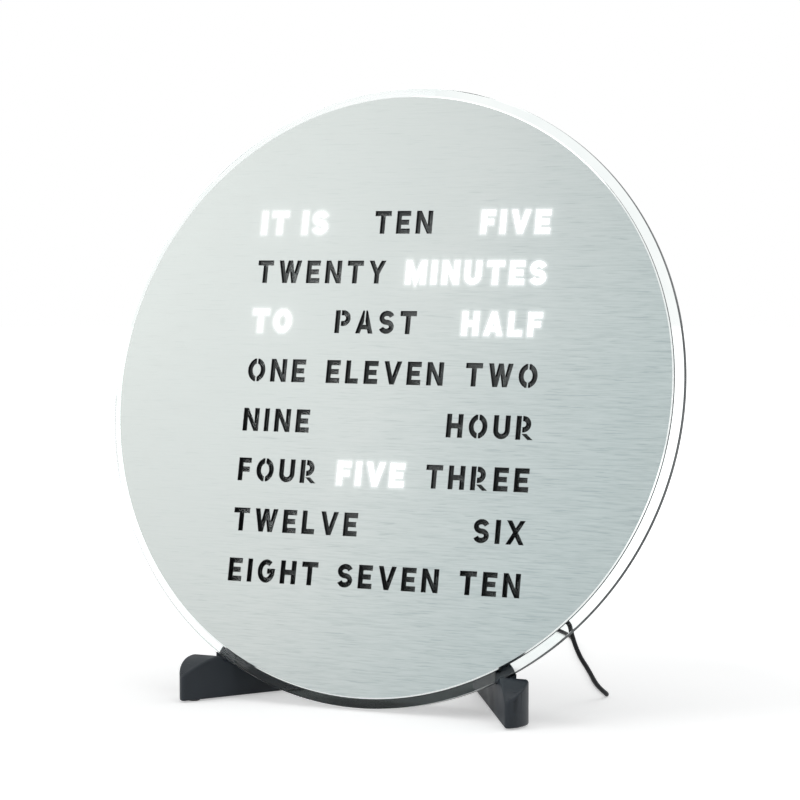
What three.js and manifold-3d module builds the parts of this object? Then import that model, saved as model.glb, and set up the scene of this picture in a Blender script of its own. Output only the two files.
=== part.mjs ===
// Word clock: a brushed metal disc with stencil-cut time words over a clear disc, lit from a
// housing behind it and standing in two splayed feet. Millimetres, +Z up, the front faces -Y.
import * as THREE from 'three';
import { mergeVertices } from 'three/addons/utils/BufferGeometryUtils.js';
import Module from 'manifold-3d';

const wasm = await Module();
wasm.setup();

// Fits shared by all pieces
const seatGap = 0.3;
const overrun = 2;

// Discs: the metal face, the clear disc behind it and how they stand
const clearDiameter = 298;
const rimWidth = 4.5;
const plateThickness = 2;
const clearThickness = 3;
const leanAngle = THREE.MathUtils.degToRad(12);
const floorGap = 0.4;

// Words on the face
const textMargin = 8.9;
const textCornerTurn = THREE.MathUtils.degToRad(50.07);
const rightEdgeShare = 1.061;
const lastRowShare = 1.0615;
const capShare = 0.4486;
const strokeShare = 0.2064;
const letterGapShare = 0.303;
const wordSpaceShare = 0.78;
const bridgeWidth = 0.9;

// Diffuser, light grid and its windows
const diffuserThickness = 0.8;
const gridDepth = 9;
const gridRim = 1;
const windowMargin = 2;
const windowRise = 2.5;
const gridPostRadius = 4;
const gridPostInset = 25.4;

// Light strips and the board that carries them
const carrierThickness = 1.6;
const stripWidth = 6;
const stripThickness = 0.5;
const lampSize = 5;
const lampHeight = 1.5;
const lampInset = 15.7;
const lampCount = 5;

// Rear housing, its tape and its cover
const housingInset = 20.5;
const housingWall = 2.5;
const flangeWidth = 4.8;
const flangeThickness = 2;
const tapeThickness = 0.8;
const coverThickness = 2.4;
const coverRoom = 9.4;
const bossRadius = 4;
const coverScrewCount = 6;
const ventCount = 5;
const ventLength = 22;
const ventWidth = 2;
const ventPitch = 6;
const ventOut = 52;
const ventUp = 58;

// Screws
const screwHeadRadius = 2.75;
const screwHeadHeight = 1.8;
const screwShankRadius = 1.25;
const coverScrewLength = 7;
const carrierScrewLength = 8;
const boardScrewLength = 5;
const driveWidth = 1;
const driveDepth = 0.8;

// Control board and what is on it
const boardWidth = 96;
const boardHeight = 30;
const boardThickness = 1.6;
const boardOut = 24;
const boardRise = 54;
const boardPostRadius = 2.8;
const boardPostHeight = 4.3;
const boardPostInset = 4;
const processorWidth = 20;
const processorHeight = 18;
const processorThickness = 2.2;
const cellRadius = 6.2;
const cellThickness = 2;
const clipWall = 1;
const clipFloor = 0.6;
const clipDepth = 2.2;
const leadReach = 10;
const leadThickness = 1;
const leadWidth = 8;

// Buttons in the cover and the switches under them
const buttonRadius = 3;
const buttonProud = 1.6;
const buttonFlange = 1.2;
const buttonFlangeThickness = 1;
const buttonTravel = 0.8;
const buttonPlay = 0.1;
const buttonInset = 14;
const switchSize = 6;

// Power socket and plug
const jackInset = 12;
const jackBelow = 6;
const jackSize = 10;
const jackBarrelRadius = 4;
const plugBarrelRadius = 2.4;
const plugBarrelLength = 6.5;
const plugWidth = 10;
const plugDepth = 8;
const plugAhead = 10;
const plugTurn = THREE.MathUtils.degToRad(45);
const bootLength = 14;
const bootWideRadius = 2.9;
const bootNarrowRadius = 1.6;

// Feet
const footSplay = THREE.MathUtils.degToRad(31);
const slotPlace = THREE.MathUtils.degToRad(27.36);
const toeReach = 23.35;
const toeLength = 19.6;
const toeWidth = 13.8;
const toeTopHeight = 21;
const toeCrownRadius = 40;
const toeCrownLead = 8.4;
const noseReachShare = 0.19;
const noseOutShare = 0.27;
const noseTurnShare = 1.26;
const noseBackShare = 0.375;
const barWidth = 8.6;
const barLength = 112;
const backrestHeight = 27.5;
const backrestLength = 8;
const backrestRound = 7;
const heelHeight = 8;
const heelRound = 3;
const notchDrop = 2.7;
const padRadius = 3;
const padThickness = 1.2;
const padProud = 0.8;
const frontPadBack = 8;
const frontPadOut = 5;
const rearPadInset = 7;

// Cord, coil, tie and the plug at its far end
const cordDiameter = 2.2;
const coilPitch = 2.8;
const coilRadius = 12;
const coilTurns = 3;
const coilLayers = 4;
const coilAcross = -115;
const coilBehind = 240;
const coilStart = THREE.MathUtils.degToRad(24);
const tieThickness = 0.8;
const tieClearance = 0.8;
const tieWidth = 6;
const tiePlace = THREE.MathUtils.degToRad(75);
const usbWidth = 15;
const usbLength = 24;
const usbHeight = 8;
const usbRound = 2.5;
const usbBootLength = 9;
const usbBootRadius = 2.6;
const usbShellWidth = 12;
const usbShellHeight = 4.5;
const usbShellLength = 12;
const usbShellWall = 0.5;
const usbDistance = 22;

// Fineness of round shapes
const fineSides = 96;
const roundSides = 60;
const smallSides = 16;
const screwSides = 10;
const letterSteps = 5;
const footSteps = 8;

// Places along the depth of the clock, measured back from the face
const clearFront = plateThickness + seatGap;
const clearBack = clearFront + clearThickness;
const tapeFront = clearBack + seatGap;
const housingFront = tapeFront + tapeThickness + seatGap;
const gridFront = tapeFront + diffuserThickness + seatGap;
const gridBack = gridFront + gridDepth;
const lampFront = gridBack + seatGap;
const stripFront = lampFront + lampHeight;
const stripBack = stripFront + stripThickness;
const carrierFront = stripBack + seatGap;
const carrierBack = carrierFront + carrierThickness;
const bossFront = carrierBack + seatGap;
const coverFront = carrierBack + coverRoom;
const coverBack = coverFront + coverThickness;
const bossBack = coverFront - seatGap;
const boardBack = coverFront - boardPostHeight - seatGap;
const boardFront = boardBack - boardThickness;
const plugFront = coverBack + seatGap * 2;
const plugMiddle = plugFront + plugDepth / 2;

// Height of the disc's centre: its lowest edge clears the table
const clearRadius = clearDiameter / 2;
const centreHeight = floorGap + clearRadius * Math.cos(leanAngle) + clearBack * Math.sin(leanAngle);

// Radii that follow the clear disc
const plateRadius = clearRadius - rimWidth;
const housingRadius = clearRadius - housingInset;
const flangeRadius = housingRadius - flangeWidth;
const diffuserRadius = flangeRadius - seatGap;
const gridRadius = flangeRadius - seatGap;
const wallRadius = housingRadius - housingWall;

// Materials
const finish = (color, roughness, metalness, extra = {}) =>
  new THREE.MeshStandardMaterial({ color, roughness, metalness, ...extra });
const brushedMetal = () => finish(0xd2d9d8, 0.4, 0.9);
const clearPlastic = () => finish(0xf2f6f6, 0.05, 0, { transparent: true, opacity: 0.35 });
const smokedPlastic = () => finish(0x34373a, 0.45, 0);
const foamBlack = () => finish(0x1b1c1d, 0.95, 0);
const housingBlack = () => finish(0x222426, 0.55, 0);
const footPlastic = () => finish(0x34393e, 0.45, 0);
const rubber = () => finish(0x151515, 0.9, 0);
const greenBoard = () => finish(0x1f5a3a, 0.5, 0);
const whiteBoard = () => finish(0xe6e8e6, 0.5, 0);
const steel = () => finish(0xb9bcbf, 0.35, 1);
const darkParts = () => finish(0x18191b, 0.4, 0);
const cordBlack = () => finish(0x1c1d1f, 0.6, 0);

// A geometry with merged corners, its faces turned outwards
function closed(geometry) {
  geometry.deleteAttribute('normal');
  geometry.deleteAttribute('uv');
  const merged = mergeVertices(geometry, 1e-5);
  const place = merged.attributes.position;
  const corner = [0, 1, 2].map(() => new THREE.Vector3());
  const kept = [];
  let volume = 0;
  for (let i = 0; i < merged.index.count; i += 3) {
    const ids = [0, 1, 2].map((k) => merged.index.getX(i + k));
    if (ids[0] === ids[1] || ids[1] === ids[2] || ids[2] === ids[0]) continue;
    ids.forEach((id, k) => corner[k].fromBufferAttribute(place, id));
    volume += corner[0].dot(corner[1].clone().cross(corner[2]));
    kept.push(...ids);
  }
  if (volume < 0) kept.reverse();
  merged.setIndex(kept);
  return merged;
}

// Booleans
function toSolid(geometry) {
  const mesh = closed(geometry);
  return new wasm.Manifold(new wasm.Mesh({
    numProp: 3,
    vertProperties: new Float32Array(mesh.attributes.position.array),
    triVerts: new Uint32Array(mesh.index.array),
  }));
}
function toGeometry(solid) {
  const mesh = solid.getMesh();
  const geometry = new THREE.BufferGeometry();
  geometry.setAttribute('position', new THREE.BufferAttribute(new Float32Array(mesh.vertProperties), 3));
  geometry.setIndex(new THREE.BufferAttribute(new Uint32Array(mesh.triVerts), 1));
  return geometry;
}
const cut = (body, ...tools) =>
  toGeometry(tools.reduce((left, tool) => left.subtract(toSolid(tool)), toSolid(body)));
const join = (...parts) =>
  toGeometry(parts.slice(1).reduce((sum, part) => sum.add(toSolid(part)), toSolid(parts[0])));
const overlapOf = (a, b) => toGeometry(toSolid(a).intersect(toSolid(b)));

// Shapes in the clock's own frame: X across, Z up the face, Y back through its depth
const outline = (points) => new THREE.Shape(points.map(([x, y]) => new THREE.Vector2(x, y)));
function slab(shape, front, back) {
  const geometry = new THREE.ExtrudeGeometry(shape, { depth: back - front, bevelEnabled: false });
  return geometry.rotateX(Math.PI / 2).translate(0, back, 0);
}
const circle = (radius, sides, x = 0, y = 0) => {
  const points = [];
  for (let k = 0; k < sides; k += 1) {
    const turn = (2 * Math.PI * k) / sides;
    points.push([x + radius * Math.cos(turn), y + radius * Math.sin(turn)]);
  }
  return points;
};
const rectangle = (x0, y0, x1, y1) => [[x0, y0], [x1, y0], [x1, y1], [x0, y1]];
const rod = (radius, x, up, front, back, sides = smallSides) =>
  slab(outline(circle(radius, sides, x, up)), front, back);
const block = (x, up, width, height, front, back) =>
  slab(outline(rectangle(x - width / 2, up - height / 2, x + width / 2, up + height / 2)), front, back);
const turned = (profile, sides) =>
  new THREE.LatheGeometry(profile.map(([r, y]) => new THREE.Vector2(r, y)), sides);
const holed = (points, holes) => {
  const shape = outline(points);
  holes.forEach((hole) => shape.holes.push(new THREE.Path(hole.map(([x, y]) => new THREE.Vector2(x, y)))));
  return shape;
};

// The object and the leaning clock in it
const object = new THREE.Group();
const clock = new THREE.Group();
clock.rotation.x = -leanAngle;
clock.position.z = centreHeight;
object.add(clock);
function piece(parent, name, geometry, material) {
  const mesh = new THREE.Mesh(closed(geometry), material);
  mesh.name = name;
  parent.add(mesh);
  return mesh;
}

// Letter strokes: points on an oval, and the outline of an even stroke along a path
function oval(x, y, rx, ry, from, to, steps = letterSteps) {
  const points = [];
  for (let k = 0; k <= steps; k += 1) {
    const turn = THREE.MathUtils.degToRad(from + ((to - from) * k) / steps);
    points.push([x + rx * Math.cos(turn), y + ry * Math.sin(turn)]);
  }
  return points;
}
function stroke(path) {
  const unit = (a, b) => new THREE.Vector2(b[0] - a[0], b[1] - a[1]).normalize();
  const left = [];
  const right = [];
  path.forEach((point, i) => {
    const before = i > 0 ? unit(path[i - 1], point) : unit(point, path[1]);
    const after = i < path.length - 1 ? unit(point, path[i + 1]) : before;
    const along = before.clone().add(after).normalize();
    const reach = strokeWidth / 2 / along.dot(before);
    left.push([point[0] - along.y * reach, point[1] + along.x * reach]);
    right.unshift([point[0] + along.y * reach, point[1] - along.x * reach]);
  });
  return [...left, ...right];
}

// Rows of words: the corners of the block keep their margin from the lit disc's edge
const rows = [
  ['IT IS', 'TEN', 'FIVE'],
  ['TWENTY', 'MINUTES'],
  ['TO', 'PAST', 'HALF'],
  ['ONE', 'ELEVEN', 'TWO'],
  ['NINE', 'HOUR'],
  ['FOUR', 'FIVE', 'THREE'],
  ['TWELVE', 'SIX'],
  ['EIGHT', 'SEVEN', 'TEN'],
];
const textCorner = diffuserRadius - textMargin;
const firstRowTop = textCorner * Math.sin(textCornerTurn);
const textLeft = textCorner * Math.cos(textCornerTurn);
const textRight = textLeft * rightEdgeShare;
const rowPitch = (firstRowTop * (1 + lastRowShare)) / (rows.length - 1 + capShare);
const capHeight = rowPitch * capShare;
const strokeWidth = capHeight * strokeShare;
const letterGap = capHeight * letterGapShare;
const wordSpace = capHeight * wordSpaceShare;

// Letters: width as a share of the cap height, and the outlines of their openings
const widthShares = {
  A: 0.82, E: 0.64, F: 0.6, G: 0.82, H: 0.74, I: 0, L: 0.6, M: 0.92, N: 0.76, O: 0.84, P: 0.72,
  R: 0.76, S: 0.7, T: 0.76, U: 0.74, V: 0.82, W: 1.1, X: 0.8, Y: 0.78,
};
const barMiddleShare = 0.9;
const bowlFootShare = 0.42;
const veeShare = 0.4;
const crossbarShare = 0.18;
const bowlEnd = 62;
const hookEnd = 52;
const curlTop = 20;
const curlFoot = -160;
const letterWidth = (letter) => Math.max(widthShares[letter] * capHeight, strokeWidth);
const middleUp = (capHeight + strokeWidth) / 2;
const middleDown = (capHeight - strokeWidth) / 2;
const half = strokeWidth / 2;
const letters = {
  I: () => [rectangle(0, 0, strokeWidth, capHeight)],
  T: (w) => [[
    [w / 2 - half, 0], [w / 2 + half, 0], [w / 2 + half, capHeight - strokeWidth],
    [w, capHeight - strokeWidth], [w, capHeight], [0, capHeight],
    [0, capHeight - strokeWidth], [w / 2 - half, capHeight - strokeWidth],
  ]],
  E: (w) => [[
    [0, 0], [w, 0], [w, strokeWidth], [strokeWidth, strokeWidth], [strokeWidth, middleDown],
    [w * barMiddleShare, middleDown], [w * barMiddleShare, middleUp], [strokeWidth, middleUp],
    [strokeWidth, capHeight - strokeWidth], [w, capHeight - strokeWidth], [w, capHeight], [0, capHeight],
  ]],
  F: (w) => [[
    [0, 0], [strokeWidth, 0], [strokeWidth, middleDown], [w * barMiddleShare, middleDown],
    [w * barMiddleShare, middleUp], [strokeWidth, middleUp], [strokeWidth, capHeight - strokeWidth],
    [w, capHeight - strokeWidth], [w, capHeight], [0, capHeight],
  ]],
  L: (w) => [[
    [0, 0], [w, 0], [w, strokeWidth], [strokeWidth, strokeWidth], [strokeWidth, capHeight], [0, capHeight],
  ]],
  H: (w) => [[
    [0, 0], [strokeWidth, 0], [strokeWidth, middleDown], [w - strokeWidth, middleDown],
    [w - strokeWidth, 0], [w, 0], [w, capHeight], [w - strokeWidth, capHeight],
    [w - strokeWidth, middleUp], [strokeWidth, middleUp], [strokeWidth, capHeight], [0, capHeight],
  ]],
  N: (w) => {
    const fall = capHeight / (w - strokeWidth);
    return [[
      [0, 0], [strokeWidth, 0], [strokeWidth, capHeight - strokeWidth * fall], [w - strokeWidth, 0],
      [w, 0], [w, capHeight], [w - strokeWidth, capHeight], [w - strokeWidth, strokeWidth * fall],
      [strokeWidth, capHeight], [0, capHeight],
    ]];
  },
  M: (w) => {
    const low = capHeight * veeShare;
    const fall = (capHeight - low) / (w / 2 - strokeWidth);
    return [[
      [0, 0], [strokeWidth, 0], [strokeWidth, capHeight - strokeWidth * fall],
      [w / 2, capHeight - (w / 2) * fall], [w - strokeWidth, capHeight - strokeWidth * fall],
      [w - strokeWidth, 0], [w, 0], [w, capHeight], [w - strokeWidth, capHeight], [w / 2, low],
      [strokeWidth, capHeight], [0, capHeight],
    ]];
  },
  V: (w) => {
    const rise = capHeight / (w / 2 - half);
    return [[
      [0, capHeight], [w / 2 - half, 0], [w / 2 + half, 0], [w, capHeight],
      [w - strokeWidth, capHeight], [w / 2, capHeight - (w / 2 - strokeWidth) * rise],
      [strokeWidth, capHeight],
    ]];
  },
  W: (w) => {
    const arm = (w + strokeWidth) / 2;
    const rise = capHeight / (arm / 2 - half);
    const dip = capHeight - (arm / 2 - strokeWidth) * rise;
    return [[
      [0, capHeight], [arm / 2 - half, 0], [arm / 2 + half, 0], [w / 2, (w / 2 - arm / 2 - half) * rise],
      [w - arm / 2 - half, 0], [w - arm / 2 + half, 0], [w, capHeight], [w - strokeWidth, capHeight],
      [w - arm / 2, dip], [w / 2 + half, capHeight], [w / 2 - half, capHeight], [arm / 2, dip],
      [strokeWidth, capHeight],
    ]];
  },
  X: (w) => {
    const notch = capHeight / 2 - ((w / 2 - strokeWidth) * capHeight) / (w - strokeWidth);
    return [[
      [0, 0], [strokeWidth, 0], [w / 2, capHeight / 2 - notch], [w - strokeWidth, 0], [w, 0],
      [w / 2 + half, capHeight / 2], [w, capHeight], [w - strokeWidth, capHeight],
      [w / 2, capHeight / 2 + notch], [strokeWidth, capHeight], [0, capHeight],
      [w / 2 - half, capHeight / 2],
    ]];
  },
  A: (w) => {
    const rise = capHeight / (w / 2 - half);
    const low = capHeight * crossbarShare;
    const high = low + strokeWidth * barMiddleShare;
    const inner = (up) => strokeWidth + up / rise;
    const gapLeft = w / 2 - bridgeWidth / 2;
    const gapLow = (gapLeft - strokeWidth) * rise;
    return [[
      [0, 0], [strokeWidth, 0], [inner(low), low], [w - inner(low), low], [w - strokeWidth, 0], [w, 0],
      [w / 2 + half, capHeight], [w - gapLeft, capHeight], [w - gapLeft, gapLow],
      [w - inner(high), high], [inner(high), high], [gapLeft, gapLow], [gapLeft, capHeight],
      [w / 2 - half, capHeight],
    ]];
  },
  U: (w) => {
    const r = w / 2 - half;
    return [stroke([[half, capHeight], ...oval(w / 2, half + r, r, r, 180, 360), [w - half, capHeight]])];
  },
  O: (w) => {
    const side = (mirror) => {
      const at = (x) => w / 2 - x * mirror;
      const bowl = oval(0, capHeight / 2, w / 2 - half, capHeight / 2 - half, bowlEnd, -bowlEnd).map(([x, y]) => [at(x), y]);
      const cap = (y) => [[at(bridgeWidth / 2), y], [at(bridgeWidth), y]];
      return stroke([...cap(capHeight - half), ...bowl, ...cap(half).reverse()]);
    };
    return [side(1), side(-1)];
  },
  G: (w) => [stroke([
    ...oval(w / 2, capHeight / 2, w / 2 - half, capHeight / 2 - half, hookEnd, 360),
    [w * barMiddleShare - w / 3, capHeight / 2],
  ])],
  S: (w) => {
    const rx = w / 2 - half;
    const ry = (capHeight - strokeWidth) / 4;
    return [stroke([
      ...oval(w / 2, capHeight - half - ry, rx, ry, curlTop, 270),
      ...oval(w / 2, half + ry, rx, ry, 90, curlFoot).slice(1),
    ])];
  },
  P: (w) => {
    const low = capHeight * bowlFootShare;
    const r = (capHeight - half - low) / 2;
    const start = strokeWidth + bridgeWidth;
    return [
      rectangle(0, 0, strokeWidth, capHeight),
      stroke([[start, capHeight - half], ...oval(w - half - r, low + r, r, r, 90, -90), [start, low]]),
    ];
  },
  R: (w) => {
    const top = capHeight * bowlFootShare - half - bridgeWidth;
    return [
      ...letters.P(w - half),
      [[w / 2 - half, top], [w - strokeWidth, 0], [w, 0], [w / 2 + half, top]],
    ];
  },
  Y: (w) => {
    const fork = capHeight * bowlFootShare;
    const rise = (capHeight - fork) / (w / 2 - half);
    return [[
      [w / 2 - half, 0], [w / 2 + half, 0], [w / 2 + half, fork], [w, capHeight],
      [w - strokeWidth, capHeight], [w / 2, capHeight - (w / 2 - strokeWidth) * rise],
      [strokeWidth, capHeight], [0, capHeight], [w / 2 - half, fork],
    ]];
  },
};

// Where each word starts
const advance = (letter) => (letter === ' ' ? wordSpace - letterGap : letterWidth(letter) + letterGap);
const wordLength = (word) => [...word].reduce((sum, letter) => sum + advance(letter), -letterGap);
const rowFloor = (row) => firstRowTop - capHeight - row * rowPitch;
const rowMiddle = (row) => rowFloor(row) + capHeight / 2;
const words = rows.flatMap((row, index) => {
  const first = -textLeft;
  const last = textRight - wordLength(row.at(-1));
  const between = (first + wordLength(row[0]) + last - wordLength(row[1])) / 2;
  const starts = row.length === 3 ? [first, between, last] : [first, last];
  return row.map((word, k) => ({ word, x: starts[k], y: rowFloor(index) }));
});

// Face plate
const openings = words.flatMap(({ word, x, y }) => {
  let pen = x;
  return [...word].flatMap((letter) => {
    const start = pen;
    pen += advance(letter);
    if (letter === ' ') return [];
    return letters[letter](letterWidth(letter)).map((points) => points.map(([px, py]) => [start + px, y + py]));
  });
});
const plateBlank = rod(plateRadius, 0, 0, 0, plateThickness, fineSides);
const openingCutters = openings.map((points) => slab(outline(points), -overrun, plateThickness + overrun));
piece(clock, 'face_plate', cut(plateBlank, ...openingCutters), brushedMetal());

// Clear disc, the tape ring behind it and the diffuser inside the ring
piece(clock, 'clear_disc', slab(outline(circle(clearRadius, fineSides)), clearFront, clearBack), clearPlastic());
const tapeShape = holed(circle(housingRadius, roundSides), [circle(flangeRadius, roundSides)]);
piece(clock, 'tape_ring', slab(tapeShape, tapeFront, tapeFront + tapeThickness), foamBlack());
const diffuserShape = outline(circle(diffuserRadius, roundSides));
piece(clock, 'diffuser', slab(diffuserShape, tapeFront, tapeFront + diffuserThickness), smokedPlastic());

// Light grid: one window for each word, and posts that carry the strip board
const windowLimit = rod(gridRadius - gridRim, 0, 0, gridFront - overrun, gridBack + overrun, roundSides);
const windows = words.map(({ word, x, y }) => overlapOf(windowLimit, slab(outline(rectangle(
  x - windowMargin, y - windowRise, x + wordLength(word) + windowMargin, y + capHeight + windowRise,
)), gridFront - overrun * 2, gridBack + overrun * 2)));
const postRows = [[2, 3], [4, 5]].map(([a, b]) => (rowMiddle(a) + rowMiddle(b)) / 2);
const gridPostOut = gridRadius - gridPostInset;
const posts = postRows.flatMap((up) => [-gridPostOut, gridPostOut].map((x) => [x, up]));
const screwHoleRadius = screwShankRadius + seatGap;
const gridPlate = cut(rod(gridRadius, 0, 0, gridFront, gridBack, roundSides), ...windows);
const gridPosts = posts.map(([x, up]) => rod(gridPostRadius, x, up, gridBack - overrun, stripBack));
const gridHoles = posts.map(([x, up]) =>
  rod(screwHoleRadius, x, up, carrierBack - carrierScrewLength, carrierBack, screwSides));
piece(clock, 'light_grid', cut(join(gridPlate, ...gridPosts), ...gridHoles), foamBlack());

// Strip board and a light strip for each row of words
const carrierHoles = posts.map(([x, up]) => circle(screwHoleRadius, screwSides, x, up));
const carrierShape = holed(circle(gridRadius, roundSides), carrierHoles);
piece(clock, 'strip_board', slab(carrierShape, carrierFront, carrierBack), whiteBoard());
const stripMiddle = (textRight - textLeft) / 2;
const stripLength = textLeft + textRight;
const lampPitch = (stripLength - lampInset * 2) / (lampCount - 1);
function stripProfile() {
  const points = [[stripMiddle - stripLength / 2, stripBack], [stripMiddle + stripLength / 2, stripBack]];
  points.push([stripMiddle + stripLength / 2, stripFront]);
  for (let k = lampCount - 1; k >= 0; k -= 1) {
    const x = stripMiddle + (k - (lampCount - 1) / 2) * lampPitch;
    points.push([x + lampSize / 2, stripFront], [x + lampSize / 2, lampFront]);
    points.push([x - lampSize / 2, lampFront], [x - lampSize / 2, stripFront]);
  }
  points.push([stripMiddle - stripLength / 2, stripFront]);
  return outline(points);
}
rows.forEach((row, index) => {
  const strip = new THREE.ExtrudeGeometry(stripProfile(), { depth: stripWidth, bevelEnabled: false });
  strip.translate(0, 0, rowMiddle(index) - stripWidth / 2);
  piece(clock, `light_strip_${index + 1}`, strip, whiteBoard());
});

// Screws: a round head with a drive slot, and a plain shank
function screw(x, up, seat, length) {
  const head = rod(screwHeadRadius, x, up, seat, seat + screwHeadHeight, screwSides);
  const shank = rod(screwShankRadius, x, up, seat - length, seat + screwHeadHeight / 2, screwSides);
  const slot = block(x, up, screwHeadRadius * 3, driveWidth, seat + screwHeadHeight - driveDepth,
    seat + screwHeadHeight + overrun);
  return cut(join(head, shank), slot);
}
posts.forEach(([x, up], k) => {
  const seat = carrierBack + seatGap;
  piece(clock, `strip_board_screw_${k + 1}`, screw(x, up, seat, carrierScrewLength - seatGap), steel());
});

// Rear housing: a ring wall with a flange in front and bosses for the cover screws
const housingRing = turned([
  [flangeRadius, housingFront], [housingRadius, housingFront], [housingRadius, coverBack],
  [wallRadius, coverBack], [wallRadius, housingFront + flangeThickness],
  [flangeRadius, housingFront + flangeThickness], [flangeRadius, housingFront],
], roundSides);
const bossRing = wallRadius - bossRadius + seatGap;
const bossPlaces = circle(bossRing, coverScrewCount).map(([x, up]) => [up, x]);
const bosses = bossPlaces.map(([x, up]) => rod(bossRadius, x, up, bossFront, bossBack));
const bossHoles = bossPlaces.map(([x, up]) =>
  rod(screwHoleRadius, x, up, coverBack - coverScrewLength, coverBack, screwSides));
piece(clock, 'rear_housing', cut(join(housingRing, ...bosses), ...bossHoles), housingBlack());

// Back cover with holes for the buttons, the socket and the screws, vents and board posts
const coverRadius = wallRadius - seatGap;
const boardDown = wallRadius - boardRise;
const boardLeft = boardOut - boardWidth / 2;
const boardRight = boardOut + boardWidth / 2;
const stationPitch = (boardWidth - buttonInset - jackInset) / 4;
const jackOut = boardRight - jackInset;
const jackDown = boardDown + jackBelow;
const cellOut = jackOut - stationPitch;
const buttonPlaces = [0, 1, 2].map((k) => [boardLeft + buttonInset + k * stationPitch, -boardDown]);
const buttonHoleRadius = buttonRadius + seatGap;
const jackHoleRadius = jackBarrelRadius + seatGap;
const vents = [-1, 1].flatMap((side) => Array.from({ length: ventCount }, (_, k) => {
  const up = ventUp - k * ventPitch;
  const x = side * ventOut;
  return block(x, up, ventLength, ventWidth, coverFront - overrun, coverBack + overrun);
}));
const coverShape = holed(circle(coverRadius, roundSides), [
  ...bossPlaces.map(([x, up]) => circle(screwHoleRadius, screwSides, x, up)),
  ...buttonPlaces.map(([x, up]) => circle(buttonHoleRadius, smallSides, x, up)),
  circle(jackHoleRadius, smallSides, jackOut, -jackDown),
]);
const boardCorners = [-1, 1].flatMap((side) => [-1, 1].map((rise) => [
  boardOut + side * (boardWidth / 2 - boardPostInset),
  -boardDown + rise * (boardHeight / 2 - boardPostInset),
]));
const boardPosts = boardCorners.map(([x, up]) =>
  rod(boardPostRadius, x, up, coverFront - boardPostHeight, coverFront + coverThickness / 2));
const boardPostHoles = boardCorners.map(([x, up]) =>
  rod(screwHoleRadius, x, up, coverFront - boardPostHeight - overrun, coverFront, screwSides));
const coverPlate = slab(coverShape, coverFront, coverBack);
const cover = cut(join(coverPlate, ...boardPosts), ...boardPostHoles, ...vents);
piece(clock, 'back_cover', cover, housingBlack());
bossPlaces.forEach(([x, up], k) => {
  const seat = coverBack + seatGap;
  piece(clock, `cover_screw_${k + 1}`, screw(x, up, seat, coverScrewLength - seatGap), steel());
});

// Control board, held to the posts by screws from its front
const boardShape = holed(
  rectangle(boardLeft, -boardDown - boardHeight / 2, boardRight, -boardDown + boardHeight / 2),
  boardCorners.map(([x, up]) => circle(screwHoleRadius, screwSides, x, up)),
);
piece(clock, 'control_board', slab(boardShape, boardFront, boardBack), greenBoard());
boardCorners.forEach(([x, up], k) => {
  const seat = boardFront - seatGap;
  const turnedScrew = screw(0, 0, 0, boardScrewLength).rotateZ(Math.PI).translate(x, seat, up);
  piece(clock, `board_screw_${k + 1}`, turnedScrew, steel());
});
const processorBack = boardFront - seatGap;
const processor = block(boardOut, -boardDown, processorWidth, processorHeight,
  processorBack - processorThickness, processorBack);
piece(clock, 'processor', processor, darkParts());

// Coin cell in its clip: it keeps the time when the plug is out
const clipFront = boardBack + seatGap;
const clipProfile = [
  [0, clipFront], [cellRadius + seatGap + clipWall, clipFront],
  [cellRadius + seatGap + clipWall, clipFront + clipDepth], [cellRadius + seatGap, clipFront + clipDepth],
  [cellRadius + seatGap, clipFront + clipFloor], [0, clipFront + clipFloor],
];
piece(clock, 'cell_clip', turned(clipProfile, smallSides).translate(cellOut, 0, -boardDown), darkParts());
const cellFront = clipFront + clipFloor + seatGap;
piece(clock, 'coin_cell', rod(cellRadius, cellOut, -boardDown, cellFront, cellFront + cellThickness), steel());

// Lead from the control board to the strip board
const leadEnd = boardLeft - seatGap;
const leadFront = carrierBack + seatGap;
const leadLevel = (boardFront + boardBack) / 2;
const leadShape = outline([
  [leadEnd, leadLevel - leadThickness / 2], [leadEnd, leadLevel + leadThickness / 2],
  [leadEnd - leadReach, leadLevel + leadThickness / 2], [leadEnd - leadReach, leadFront],
  [leadEnd - leadReach + leadThickness, leadFront],
  [leadEnd - leadReach + leadThickness, leadLevel - leadThickness / 2],
]);
const lead = new THREE.ExtrudeGeometry(leadShape, { depth: leadWidth, bevelEnabled: false });
piece(clock, 'strip_lead', lead.translate(0, 0, -boardDown - leadWidth / 2), darkParts());

// Buttons through the cover, each over its switch on the board
const flangeBack = coverFront - seatGap;
const flangeFront = flangeBack - buttonFlangeThickness;
const switchFront = boardBack + seatGap;
const switchBack = flangeFront - buttonTravel - buttonPlay;
const buttonProfile = [
  [0, flangeFront], [buttonRadius + buttonFlange, flangeFront], [buttonRadius + buttonFlange, flangeBack],
  [buttonRadius, flangeBack], [buttonRadius, coverBack + buttonProud], [0, coverBack + buttonProud],
];
['hour', 'minute', 'brightness'].forEach((name, k) => {
  const [x, up] = buttonPlaces[k];
  piece(clock, `${name}_button`, turned(buttonProfile, smallSides).translate(x, 0, up), footPlastic());
  const body = block(x, up, switchSize, switchSize, switchFront, switchBack);
  piece(clock, `${name}_switch`, body, darkParts());
});

// Power socket on the board, reaching through the cover
const jackFront = boardBack + seatGap;
const boreRadius = plugBarrelRadius + seatGap;
const boreFront = plugFront - plugBarrelLength - seatGap;
const jackBody = block(jackOut, -jackDown, jackSize, jackSize, jackFront, coverFront - seatGap);
const jackBarrel = rod(jackBarrelRadius, jackOut, -jackDown, jackFront + clipWall, coverBack + seatGap);
const jackBore = rod(boreRadius, jackOut, -jackDown, boreFront, coverBack + overrun);
piece(clock, 'power_socket', cut(join(jackBody, jackBarrel), jackBore), darkParts());

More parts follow.
